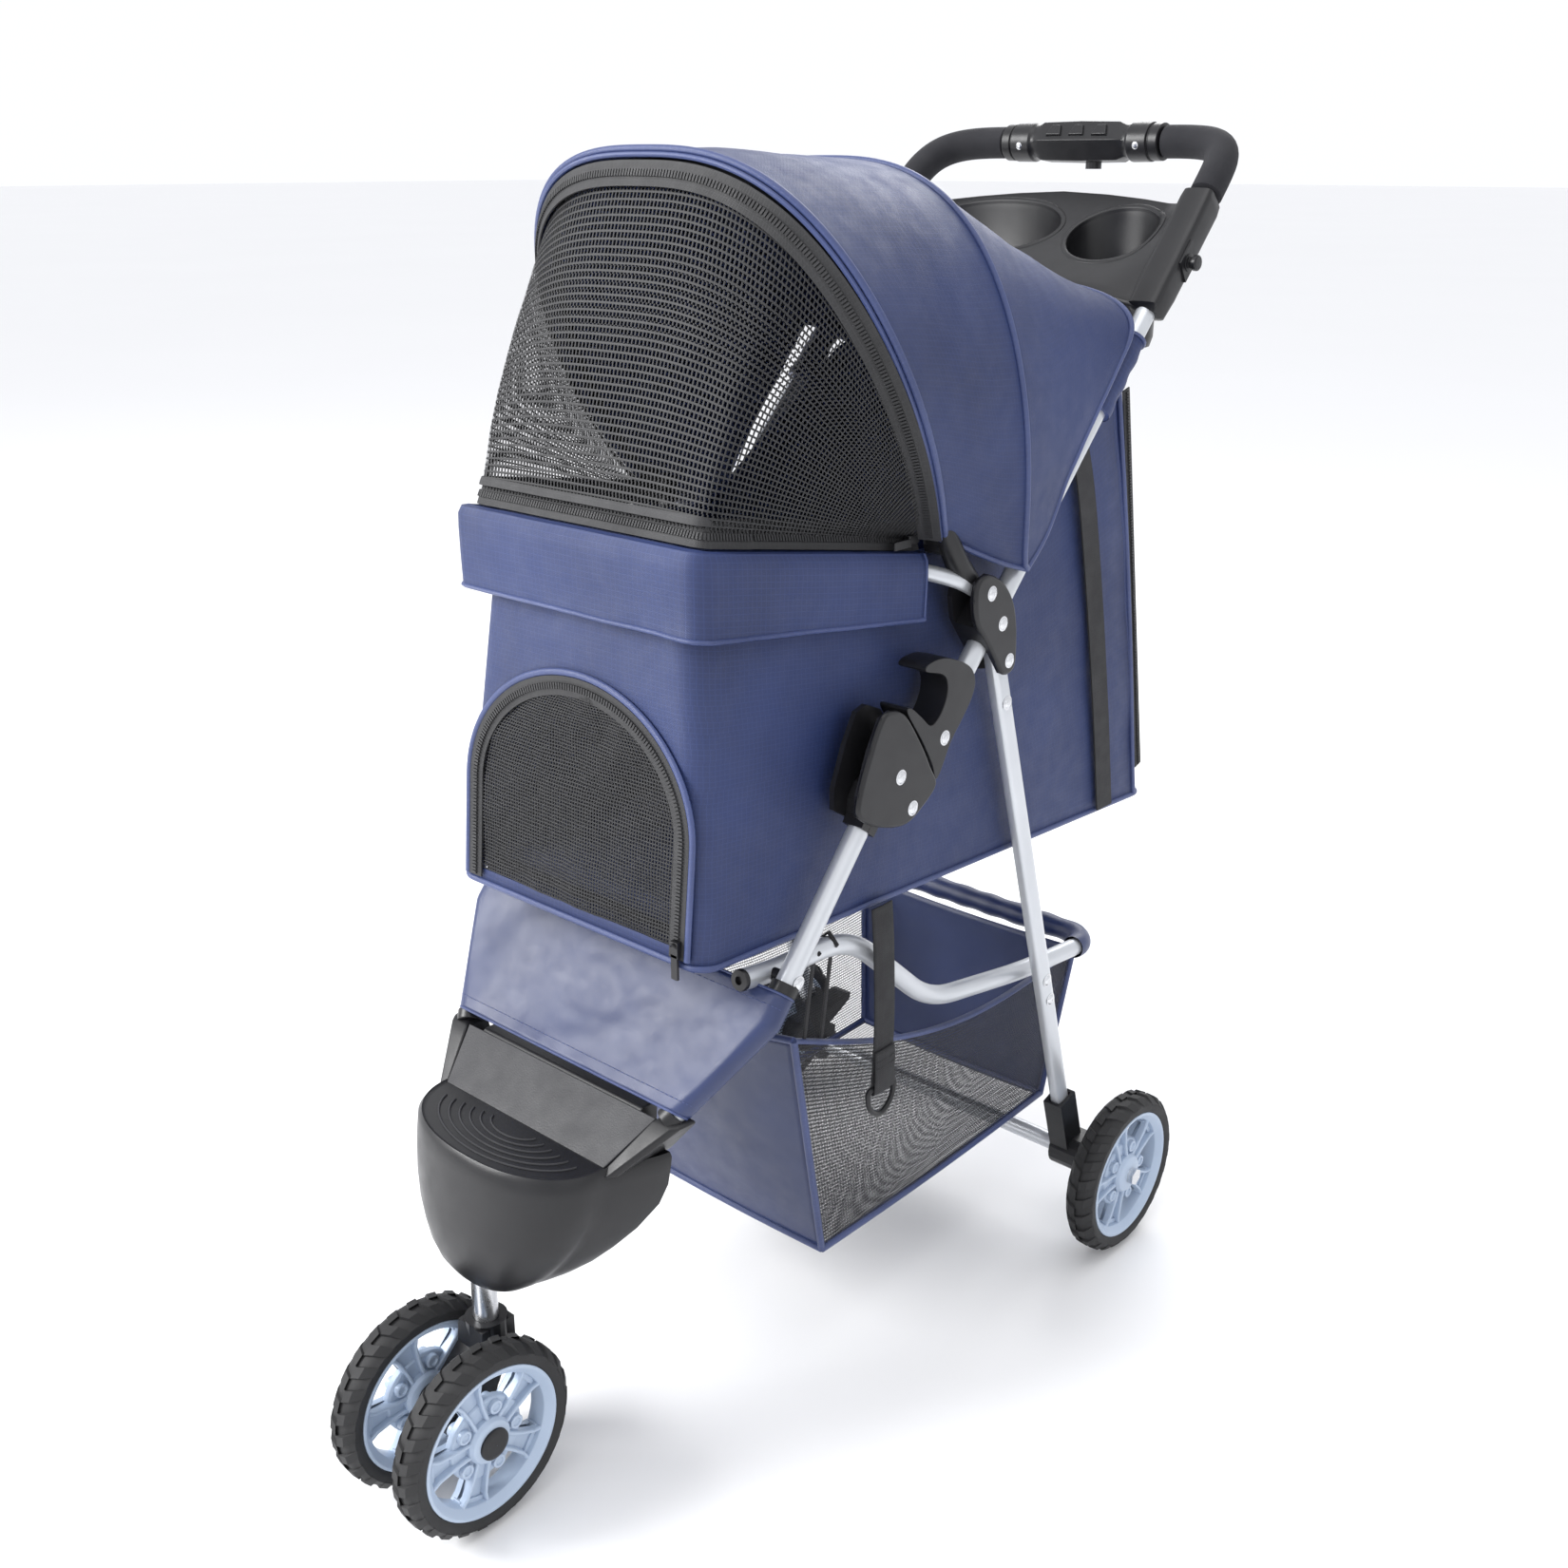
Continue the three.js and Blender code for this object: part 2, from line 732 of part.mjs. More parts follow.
// Half of the tray's top: x, then the front edge's y and z and the rear edge's.
const trayHalf = [
  [0, 270, 846, 386, 917],
  [46, 270, 846, 384, 915],
  [84, 270, 845, 378, 911],
  [112, 268, 843, 372, 908],
  [136, 268, 838, 350, 908],
  [SIDE_X + 12, 270, 834, 346, 913],
];
const trayStations = [
  ...trayHalf
    .slice(1)
    .toReversed()
    .map(([x, ...edges]) => [-x, ...edges]),
  ...trayHalf,
];

// The tray's top, thickened straight down by depth.
function traySlab(depth) {
  return loft(
    trayStations.map(([x, frontY, frontZ, rearY, rearZ]) => [
      new THREE.Vector3(x, frontY, frontZ),
      new THREE.Vector3(x, rearY, rearZ),
      new THREE.Vector3(x, rearY, rearZ - depth),
      new THREE.Vector3(x, frontY, frontZ - depth),
    ]),
  );
}

// A plumb oval column: the outside or, at no wall, the inside of a well.
function wellColumn({ x, y, halfX, halfY, floor }, wall) {
  const rings = [floor - wall, 1000].map((z) =>
    polygon(1, 24).map(
      (p) => new THREE.Vector3(x + p.x * (halfX + wall), y + p.y * (halfY + wall), z),
    ),
  );
  return loft(rings);
}

const armBar = (side) =>
  box(-13, 13, ARM_LOW, ARM_HIGH, -13, 13)
    .rotateX(HANDLE_SLOPE)
    .translate(side * SIDE_X, ...HANDLE_FOOT);
const trayBelow = traySlab(150).translate(0, 0, -0.6);
const wells = [CUP, BIN].map((well) => meet(wellColumn(well, 2.5), trayBelow));
const traySolid = join(traySlab(TRAY_PLATE), ...wells, armBar(1), armBar(-1));
const trayCuts = [
  wellColumn(CUP, 0),
  wellColumn(BIN, 0),
  tube(new BentPath([onHandle(300), onHandle(576)], 1), clearOf(TUBE_R)),
  tube(new BentPath([onHandle(300, -SIDE_X), onHandle(576, -SIDE_X)], 1), clearOf(TUBE_R)),
];
add("tray", cut(traySolid, ...trayCuts), blackPlastic);

// ---- Rear legs, axle, rear wheels and brakes ----------------------------------------------------

const REAR_LEG_LEAN = Math.atan2(REAR_AXLE_Y - LEG_PIVOT[0], LEG_PIVOT[1] - WHEEL_R);
const REAR_LEG_X = 12;
const REAR_LEG_Y = 17;
const REAR_LEG_OVER = 8;
const REAR_LEG_LENGTH = 516;

function roundedBar(width, depth, corner, inset) {
  const points = [];
  const halfW = width / 2 - inset;
  const halfD = depth / 2 - inset;
  const round = corner - inset;
  for (let quarter = 0; quarter < 4; quarter++) {
    for (let i = 0; i <= 2; i++) {
      const angle = ((quarter + i / 2) * Math.PI) / 2;
      const sx = quarter === 0 || quarter === 3 ? 1 : -1;
      const sy = quarter < 2 ? 1 : -1;
      points.push(
        new THREE.Vector2(
          sx * (halfW - round) + round * Math.cos(angle),
          sy * (halfD - round) + round * Math.sin(angle),
        ),
      );
    }
  }
  return points;
}

// Turns a piece that stands on the leg pivot, pointing down, into the rear leg's lean.
function leanRear(geometry) {
  return geometry.rotateX(REAR_LEG_LEAN).translate(SIDE_X, ...LEG_PIVOT);
}

const legSection = new THREE.Shape(roundedBar(REAR_LEG_X, REAR_LEG_Y, 5, 0));
legSection.holes.push(new THREE.Path(roundedBar(REAR_LEG_X, REAR_LEG_Y, 5, 1.2)));
const rearLegBar = new THREE.ExtrudeGeometry(legSection, {
  depth: REAR_LEG_LENGTH,
  bevelEnabled: false,
});
rearLegBar.translate(0, 0, REAR_LEG_OVER - REAR_LEG_LENGTH);
// The stud where the link tube meets the leg stands through it and ends just short of the link.
const loopStud = pin(LOOP_PIVOT, SIDE_X - 6, SIDE_X + 6);
addPair("rear_leg", join(cut(leanRear(rearLegBar), pinHole(LEG_PIVOT)), loopStud), silverPaint);

const sleeveOut = leanRear(box(-9.5, 9.5, -12, 12, -530, -470));
const sleeveBore = leanRear(box(-6.4, 6.4, -8.9, 8.9, -509, -440));
const axleBoss = rodX(17, SIDE_X - 9.5, REAR_WHEEL_X - WHEEL_HALF_W - 4, REAR_AXLE_Y, WHEEL_R, 20);
const bossFoot = box(SIDE_X - 9.5, SIDE_X + 36, REAR_AXLE_Y - 8, REAR_AXLE_Y + 14, 62, 92);
addPair(
  "axle_housing",
  cut(
    join(sleeveOut, axleBoss, bossFoot),
    sleeveBore,
    rodX(AXLE_R + GAP, 120, 230, REAR_AXLE_Y, WHEEL_R),
  ),
  blackPlastic,
);
const axleTubeHalf = SIDE_X - 9.5 - GAP;
add(
  "axle_tube",
  cut(
    rodX(TUBE_R, -axleTubeHalf, axleTubeHalf, REAR_AXLE_Y, WHEEL_R),
    rodX(TUBE_R - TUBE_WALL, -200, 200, REAR_AXLE_Y, WHEEL_R),
  ),
  silverPaint,
);
const axleNut = (x0, x1) => rodX(8, x0, x1, REAR_AXLE_Y, WHEEL_R, 6);
const rearRod = rodX(AXLE_R, -225, 225, REAR_AXLE_Y, WHEEL_R);
add("rear_axle", join(rearRod, axleNut(220.3, 226), axleNut(-226, -220.3)), steel);
addPair("rear_tyre", tyre(REAR_WHEEL_X, REAR_AXLE_Y), tyreRubber);
addPair("rear_rim", rim(REAR_WHEEL_X, REAR_AXLE_Y), rimPlastic);

// The brake: a foot lever behind each housing.
const brakeOutline = [
  [BRAKE_PIVOT[0], BRAKE_PIVOT[1] + 9],
  [BRAKE_PIVOT[0] - 4, BRAKE_PIVOT[1] + 4],
  [BRAKE_PIVOT[0] - 5, BRAKE_PIVOT[1] - 4],
  [BRAKE_PIVOT[0] + 4, BRAKE_PIVOT[1] - 7],
  [BRAKE_PIVOT[0] + 16, BRAKE_PIVOT[1] - 3],
  [BRAKE_PIVOT[0] + 42, BRAKE_PIVOT[1] + 10],
  [BRAKE_PIVOT[0] + 44, BRAKE_PIVOT[1] + 17],
  [BRAKE_PIVOT[0] + 38, BRAKE_PIVOT[1] + 18],
];
addPair("brake_pedal", plate(brakeOutline, SIDE_X + 13, SIDE_X + 35), blackPlastic);

// ---- Link tube and basket -----------------------------------------------------------------------

const linkSide = [
  [-178, 407.5],
  [-150, 403],
  [-62, 398],
  [44, 303],
  [180, 277],
  [300, 264],
];
const linkCorners = [
  ...linkSide.map(([y, z]) => [LINK_X, y, z]),
  ...linkSide.toReversed().map(([y, z]) => [-LINK_X, y, z]),
];
const linkPath = new BentPath(linkCorners, 34, 2);
const linkTube = tube(linkPath, TUBE_R, TUBE_R - TUBE_WALL);
const linkHoles = [pinHole(LINK_PIVOT), pinHole(LINK_PIVOT, -190, -100)];
add("link_tube", cut(linkTube, ...linkHoles), silverPaint);

const plugCore = cut(rodX(TUBE_R, 0, 4, 0, 0, 16), rodX(2.6, 2, 6, 0, 0, 6));
const plugSpigot = rodX(TUBE_R - TUBE_WALL - 0.9, -12, 1, 0, 0, 8);
const plug = join(plugCore, plugSpigot).rotateZ(-Math.PI / 2);
plug.rotateX(-Math.atan2(8, 50)).translate(LINK_X, linkSide[0][0] - GAP, linkSide[0][1]);
addPair("link_plug", plug, blackPlastic);

const basketTop = heightLine([
  [-116, 334],
  [-12, 300],
  [120, 276],
  [290, 256],
]);
const basketRing = (half, front, rear, heightAt) =>
  planRing(half, half, front, rear, 14, heightAt);
const basketOuter = loft([
  basketRing(108, -62, 262, () => 108),
  basketRing(124, -116, 288, basketTop),
]);
const basketInner = loft([
  basketRing(108 - BASKET_WALL, -62 + BASKET_WALL, 262 - BASKET_WALL, () => 108 + BASKET_WALL),
  basketRing(125 - BASKET_WALL, -121 + BASKET_WALL, 291 - BASKET_WALL, (y) => basketTop(y) + 10),
]);
add("basket", cut(basketOuter, basketInner), navyFabric);

// ---- Cabin --------------------------------------------------------------------------------------

const cabinFloor = heightLine([
  [CABIN_FRONT_Y, CABIN_FLOOR_FRONT_Z],
  [CABIN_REAR_Y, CABIN_FLOOR_REAR_Z],
]);
const cabinRim = heightLine([
  [-190, 711],
  [24, 676],
  [66, 676],
  [268, 795],
]);
function cabinBody(inset, lift, over) {
  const low = planRing(
    130 - inset,
    141 - inset,
    CABIN_FRONT_Y + inset,
    CABIN_REAR_Y - inset,
    16,
    (y) => cabinFloor(y) + lift,
  );
  const high = planRing(
    104 - inset,
    141 - inset,
    -190 + inset,
    268 - inset,
    24,
    (y) => cabinRim(y) + over,
  );
  return loft([low, high]);
}

const DOOR_HALF = 109;
const DOOR_TOP_Z = 600;
const DOOR_SPRING_Z = 510;
const FRONT_LEAN = Math.atan2(27, 283);

// The arched door's outline in the upright plane, as a plate facing the front.
function doorPlate(half, top, foot, y0, y1) {
  const shape = new THREE.Shape();
  shape.moveTo(-half, foot);
  shape.lineTo(half, foot);
  const arch = [];
  for (let i = 0; i <= 12; i++) {
    const angle = (Math.PI * i) / 12;
    arch.push([half * Math.cos(angle), DOOR_SPRING_Z + (top - DOOR_SPRING_Z) * Math.sin(angle)]);
  }
  arch.forEach(([x, z]) => shape.lineTo(x, z));
  const geometry = new THREE.ExtrudeGeometry(shape, { depth: y1 - y0, bevelEnabled: false });
  return geometry.rotateX(Math.PI / 2).translate(0, y1, 0);
}

const doorway = doorPlate(DOOR_HALF, DOOR_TOP_Z, DOOR_HINGE[1] + 4, -240, -160);
const cabinShell = cut(cabinBody(0, 0, 0), cabinBody(CABIN_WALL, CABIN_WALL, 12), doorway);
add("cabin", cabinShell, navyFabric);

const doorPanel = doorPlate(DOOR_HALF - 1.5, DOOR_TOP_Z - 1.5, DOOR_HINGE[1] + 5, -1.2, 1.2);
doorPanel.translate(0, 0, -DOOR_HINGE[1]).rotateX(-FRONT_LEAN);
doorPanel.translate(0, CABIN_FRONT_Y + 1.9, DOOR_HINGE[1]);
add("front_door", doorPanel, blackMesh);

// The stiff floor and the pad on it follow the cabin's slightly sloping bottom.
function floorSlab(half, front, rear, low, high) {
  const ring = (lift) => planRing(half - 4, half, front, rear, 16, (y) => cabinFloor(y) + lift);
  return loft([ring(low), ring(high)]);
}
add("floor_board", floorSlab(126, -194, 326, 3.6, 7), blackPlastic);
add("pad", floorSlab(122, -190, 320, 7.6, 24), padFabric);

// The padded collar folded over the front of the rim, outside the hoop.
const collarTop = heightLine([
  [-206, 713],
  [4, 680],
]);
const collarHem = heightLine([
  [-206, 658],
  [4, 634],
]);
function collarRing(inset, heightAt, shift) {
  return planRing(127 - inset, 151 - inset, -211 + inset, 120, 14, (y) => heightAt(y) + shift);
}
const collarOuter = loft([collarRing(0, collarHem, 0), collarRing(0, collarTop, 0)]);
const collarInner = loft([collarRing(4, collarHem, -6), collarRing(4, collarTop, 6)]);
const collarTail = box(-200, 200, 0, 200, 500, 800);
add("collar", cut(collarOuter, collarInner, collarTail), navyFabric);

// The hoop that carries the cabin's front, from the hinge blocks round under the rim.
const HOOP_R = 6;
const hoopSide = [
  [SIDE_X, 60, 643.5],
  [SIDE_X, 34, 657],
  [129.5, 7, 667],
  [120, -120, 686],
  [113, -199, 699],
];
const hoopCorners = [
  ...hoopSide,
  ...hoopSide.toReversed().map(([x, y, z]) => [-x, y, z]),
];
const hoopTube = tube(new BentPath(hoopCorners, 36, 3), HOOP_R, HOOP_R - 1, 6);
const hoopHoles = [pinHole(HOOP_PIVOT), pinHole(HOOP_PIVOT, -190, -100)];
add("hoop", cut(hoopTube, ...hoopHoles), silverPaint);

// ---- Canopy -------------------------------------------------------------------------------------

const ARCH_POWER = 2.8;
const ARCH_STEPS = 14;

// One arch of the canopy, from its foot on one side, over its top, to the other foot.
// bulge is its greatest half width, a little above the feet.
function archPoint(station, u, inset) {
  const climb = Math.sin(((1 - Math.abs(u)) * Math.PI) / 2) ** 0.9;
  const [footX, footY, footZ] = station.foot;
  const pinch = 1 - (1 - footX / station.bulge) * (1 - climb) ** 4;
  const spread = pinch * (1 - climb ** ARCH_POWER) ** (1 / ARCH_POWER);
  const [topY, topZ] = station.top;
  const lean = climb ** station.lean;
  const sink = inset * climb;
  return new THREE.Vector3(
    Math.sign(u) * spread * (station.bulge - inset),
    footY + (topY - footY) * lean,
    footZ + (topZ - footZ) * climb - sink,
  );
}

const canopyStations = [
  { foot: [150, 19, 690], bulge: 181, top: [-125, 950], lean: 0.85 },
  { foot: [156, 48, 676], bulge: 182, top: [-62, 952], lean: 0.8 },
  { foot: [162, 76, 664], bulge: 183, top: [0, 949], lean: 0.65 },
  { foot: [166.5, 100, 656], bulge: 182, top: [60, 943], lean: 0.5 },
  { foot: [166.5, 124, 678], bulge: 176, top: [118, 919], lean: 0.8 },
  { foot: [166, 150, 716], bulge: 172, top: [168, 896], lean: 1 },
  { foot: [165, 184, 756], bulge: 168, top: [214, 874], lean: 1 },
  { foot: [164, 226, 806], bulge: 165, top: [258, 852], lean: 1 },
];

function archBand(stations) {
  const rings = stations.map((station) => {
    const ring = [];
    for (let i = 0; i <= ARCH_STEPS; i++) {
      ring.push(archPoint(station, 1 - (2 * i) / ARCH_STEPS, 0));
    }
    for (let i = ARCH_STEPS; i >= 0; i--) {
      ring.push(archPoint(station, 1 - (2 * i) / ARCH_STEPS, CANOPY_WALL));
    }
    return ring;
  });
  return stripLoft(rings);
}

// As loft, for a thin band: its two faces are split along the same diagonals, so they can't cross,
// and the two ends are closed by quads across the band's thickness.
function stripLoft(rings) {
  const count = rings[0].length;
  const half = count / 2;
  const positions = rings.flat().flatMap((point) => [point.x, point.y, point.z]);
  const index = [];
  for (let r = 0; r < rings.length - 1; r++) {
    for (let i = 0; i < count; i++) {
      const a = r * count + i;
      const b = r * count + ((i + 1) % count);
      if (i < half) index.push(a, b, b + count, a, b + count, a + count);
      else index.push(a, b, a + count, b, b + count, a + count);
    }
  }
  for (const [ring, flip] of [[0, true], [rings.length - 1, false]]) {
    for (let i = 0; i < half - 1; i++) {
      const a = ring * count + i;
      const b = a + 1;
      const c = ring * count + (count - 2 - i);
      const d = c + 1;
      if (flip) index.push(a, c, b, a, d, c);
      else index.push(a, b, c, a, c, d);
    }
  }
  const geometry = new THREE.BufferGeometry();
  geometry.setAttribute("position", new THREE.Float32BufferAttribute(positions, 3));
  geometry.setIndex(index);
  return facingOut(geometry);
}

const canopyFront = archBand(canopyStations.slice(0, 4));
const rearStations = canopyStations.slice(3).map((station) => ({ ...station }));
rearStations[0] = { ...rearStations[0], foot: [166.5, 102, 658], top: [62, 943] };
add("canopy_front", canopyFront, navyFabric);
add("canopy_rear", archBand(rearStations), navyFabric);

// The mesh window between the front bow and the rim.
function windowRing(depth) {
  const station = { ...canopyStations[0], foot: [136, 2, 700], bulge: 168, top: [-128 + depth, 943] };
  const ring = [];
  for (let i = 0; i <= ARCH_STEPS; i++) {
    const point = archPoint(station, 1 - (2 * i) / ARCH_STEPS, 0);
    ring.push(point.setY(point.y + depth - 9));
  }
  return ring;
}

function windowPanel() {
  const sill = [];
  const head = [];
  const front = windowRing(0);
  front.forEach((point, i) => {
    const u = 1 - (2 * i) / ARCH_STEPS;
    head.push(point);
    const bend = Math.min(1, (1 - Math.abs(u)) * 3.2);
    const y = 0 - 196 * Math.sin((bend * Math.PI) / 2);
    const x = Math.sign(u) * (134 - 22 * bend) * Math.min(1, Math.abs(u) * 1.6);
    sill.push(new THREE.Vector3(x, y, collarTop(y) + 8));
  });
  const back = (points) => points.map((p) => new THREE.Vector3(p.x * 0.985, p.y + 2.2, p.z - 0.8));
  const strip = (points) => [...points, ...back(points).toReversed()];
  const middle = head.map((point, i) => point.clone().lerp(sill[i], 0.5));
  return stripLoft([strip(head), strip(middle), strip(sill)]);
}
add("window", windowPanel(), blackMesh);

// The front bow, a round rod in the canopy's front hem, and the sockets it stands in.
class ArchPath extends THREE.Curve {
  constructor(station, inset, reach) {
    super();
    this.station = station;
    this.inset = inset;
    this.reach = reach;
    this.steps = 18;
  }

  getPoint(t) {
    return archPoint(this.station, this.reach * (1 - 2 * t), this.inset);
  }
}

const bowStation = { foot: [143, 24, 684], bulge: 167, top: [-118, 942], lean: 0.85 };
const bowRod = tube(new ArchPath(bowStation, 0, 0.99), 3, 0, 6);
const bowSocket = (side) => {
  const [x0, x1] = side > 0 ? [132, 145.5] : [-145.5, -132];
  return join(
    rodX(8, x0, x1, ...BOW_PIVOT, 16),
    box(x0, x1, BOW_PIVOT[0] - 7, BOW_PIVOT[0] + 6, BOW_PIVOT[1], BOW_PIVOT[1] + 16),
  );
};
add("front_bow", join(bowRod, bowSocket(1), bowSocket(-1)), blackPlastic);

// ---- Strap, ring and zip pulls ------------------------------------------------------------------

const STRAP_X = 147;
const STRAP_Y = -38;
add("strap", box(STRAP_X - 0.9, STRAP_X + 0.9, STRAP_Y - 12, STRAP_Y + 12, 272, 404), blackWebbing);

const ringPath = new BentPath(
  [
    [STRAP_X, STRAP_Y - 6, 267.5],
    [STRAP_X, STRAP_Y - 17, 267.5],
    [STRAP_X, STRAP_Y - 13, 243],
    [STRAP_X, STRAP_Y + 13, 243],
    [STRAP_X, STRAP_Y + 17, 267.5],
    [STRAP_X, STRAP_Y - 5, 267.5],
  ],
  9,
  3,
);
add("d_ring", tube(ringPath, 2.2, 0, 8), blackPlastic);

export default stroller;
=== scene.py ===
import json
import math
import random

import bmesh
import bpy
from mathutils import Matrix, Vector, noise


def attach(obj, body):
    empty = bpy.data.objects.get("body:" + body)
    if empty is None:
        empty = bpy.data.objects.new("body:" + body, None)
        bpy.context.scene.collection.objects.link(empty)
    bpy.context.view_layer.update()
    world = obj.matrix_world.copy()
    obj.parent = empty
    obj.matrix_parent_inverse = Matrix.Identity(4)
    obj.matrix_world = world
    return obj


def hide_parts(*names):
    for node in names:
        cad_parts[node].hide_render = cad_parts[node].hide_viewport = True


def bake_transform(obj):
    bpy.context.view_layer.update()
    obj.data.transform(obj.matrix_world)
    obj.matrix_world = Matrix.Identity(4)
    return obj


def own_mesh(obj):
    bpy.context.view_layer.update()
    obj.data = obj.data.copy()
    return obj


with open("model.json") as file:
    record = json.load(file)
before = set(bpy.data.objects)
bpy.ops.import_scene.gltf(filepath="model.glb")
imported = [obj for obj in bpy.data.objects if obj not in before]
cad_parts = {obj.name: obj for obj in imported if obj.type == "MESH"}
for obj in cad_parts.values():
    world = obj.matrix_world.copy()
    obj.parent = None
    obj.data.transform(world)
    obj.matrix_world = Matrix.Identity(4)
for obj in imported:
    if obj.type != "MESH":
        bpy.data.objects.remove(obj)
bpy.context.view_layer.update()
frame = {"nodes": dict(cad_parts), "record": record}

MM = 0.001
random.seed(7)

# ---- Driving dimensions, in millimetres: the folding stroller's own, as in the CAD frame ---------

SIDE_X = 152
LINK_X = 130.4
TUBE_R = 8
WHEEL_R = 75
RIM_R = 59.6
WHEEL_HALF_W = 14
FRONT_WHEEL_X = 37
REAR_WHEEL_X = 208
FRONT_AXLE = (-359, 75)
REAR_AXLE = (243, 75)
STEM_Y = -321
STEP_Z = 284
LEG_SHOWN = 284  # how far down its run a leg's tube shows before the footrest hides it
FOLD_PIVOT = (-49, 531)
LINK_PIVOT = (-152, 404)
LOOP_PIVOT = (180, 277)
LEG_PIVOT = (84, 588)
HOOP_PIVOT = (57, 645)
LEG_SLOPE = math.radians(50)
HANDLE_SLOPE = math.radians(46.6)
HANDLE_FOOT = (-34, 503)
FOAM_START = 567
BAR_Y = 415
BAR_Z = 957
GRIP_HALF = 79
SIDES = (1, -1)
SIDE_NAME = {1: "left", -1: "right"}

# ---- Points and paths ---------------------------------------------------------------------------


def on_leg(run, x=SIDE_X, forward=0.0):
    y = FOLD_PIVOT[0] - math.cos(LEG_SLOPE) * run - math.sin(LEG_SLOPE) * forward
    z = FOLD_PIVOT[1] - math.sin(LEG_SLOPE) * run + math.cos(LEG_SLOPE) * forward
    return (x, y, z)


def on_handle(run, x=SIDE_X, lift=0.0):
    y = HANDLE_FOOT[0] + math.cos(HANDLE_SLOPE) * run - math.sin(HANDLE_SLOPE) * lift
    z = HANDLE_FOOT[1] + math.sin(HANDLE_SLOPE) * run + math.cos(HANDLE_SLOPE) * lift
    return (x, y, z)


def bent(corners, reach, steps=10):
    """Straight runs between corners in mm, each corner rounded over reach."""
    points = [Vector(c) for c in corners]
    path = [points[0]]
    for before, corner, after in zip(points, points[1:], points[2:]):
        back, ahead = before - corner, after - corner
        near = min(reach, back.length * 0.48, ahead.length * 0.48)
        start, end = corner + back.normalized() * near, corner + ahead.normalized() * near
        for i in range(steps + 1):
            t = i / steps
            path.append(start * (1 - t) ** 2 + corner * 2 * t * (1 - t) + end * t * t)
    path.append(points[-1])
    return path


def smooth_path(points, count):
    """A Catmull-Rom curve through the points, in count even steps."""
    pts = [Vector(p) for p in points]
    padded = [pts[0] * 2 - pts[1]] + pts + [pts[-1] * 2 - pts[-2]]
    fine = []
    for i in range(len(pts) - 1):
        a, b, c, d = padded[i : i + 4]
        for k in range(24):
            t = k / 24
            fine.append(
                0.5 * (2 * b + (c - a) * t + (2 * a - 5 * b + 4 * c - d) * t**2
                       + (3 * b - a - 3 * c + d) * t**3)
            )
    fine.append(pts[-1])
    return evened(fine, count)


def evened(points, count):
    """The same path with count + 1 evenly spaced points."""
    lengths = [0.0]
    for a, b in zip(points, points[1:]):
        lengths.append(lengths[-1] + (b - a).length)
    out, k = [], 0
    for i in range(count + 1):
        want = lengths[-1] * i / count
        while k < len(points) - 2 and lengths[k + 1] < want:
            k += 1
        span = max(lengths[k + 1] - lengths[k], 1e-9)
        out.append(points[k].lerp(points[k + 1], (want - lengths[k]) / span))
    return out


def smooth_outline(points, steps=6):
    """A closed Catmull-Rom outline through (y, z) points."""
    pts = [Vector((0, *p)) for p in points]
    out = []
    for i in range(len(pts)):
        a, b, c, d = (pts[(i + k) % len(pts)] for k in (-1, 0, 1, 2))
        for k in range(steps):
            t = k / steps
            p = 0.5 * (2 * b + (c - a) * t + (2 * a - 5 * b + 4 * c - d) * t**2
                       + (3 * b - a - 3 * c + d) * t**3)
            out.append((p.y, p.z))
    return out


def height_line(corners):
    def height(y):
        for (y0, z0), (y1, z1) in zip(corners, corners[1:]):
            if y <= y1 or (y1, z1) == corners[-1]:
                t = min(max((y - y0) / (y1 - y0), 0), 1)
                return z0 + (z1 - z0) * t
    return height


def plan_ring(half_front, half_rear, front, rear, corner, height_at, arc=8, run=14):
    """A round-cornered outline seen from above, from the rear left corner, in mm."""
    centres = [
        (half_rear - corner, rear - corner),
        (-half_rear + corner, rear - corner),
        (-half_front + corner, front + corner),
        (half_front - corner, front + corner),
    ]
    points = []
    for quarter, (x, y) in enumerate(centres):
        for i in range(arc):
            a = (quarter + i / arc) * math.pi / 2
            points.append((x + corner * math.cos(a), y + corner * math.sin(a)))
        a = (quarter + 1) * math.pi / 2
        nx, ny = centres[(quarter + 1) % 4]
        x0, y0 = x + corner * math.cos(a), y + corner * math.sin(a)
        x1, y1 = nx + corner * math.cos(a), ny + corner * math.sin(a)
        for i in range(run):
            points.append((x0 + (x1 - x0) * i / run, y0 + (y1 - y0) * i / run))
    return [Vector((x, y, height_at(y))) for x, y in points]


# ---- Materials ----------------------------------------------------------------------------------


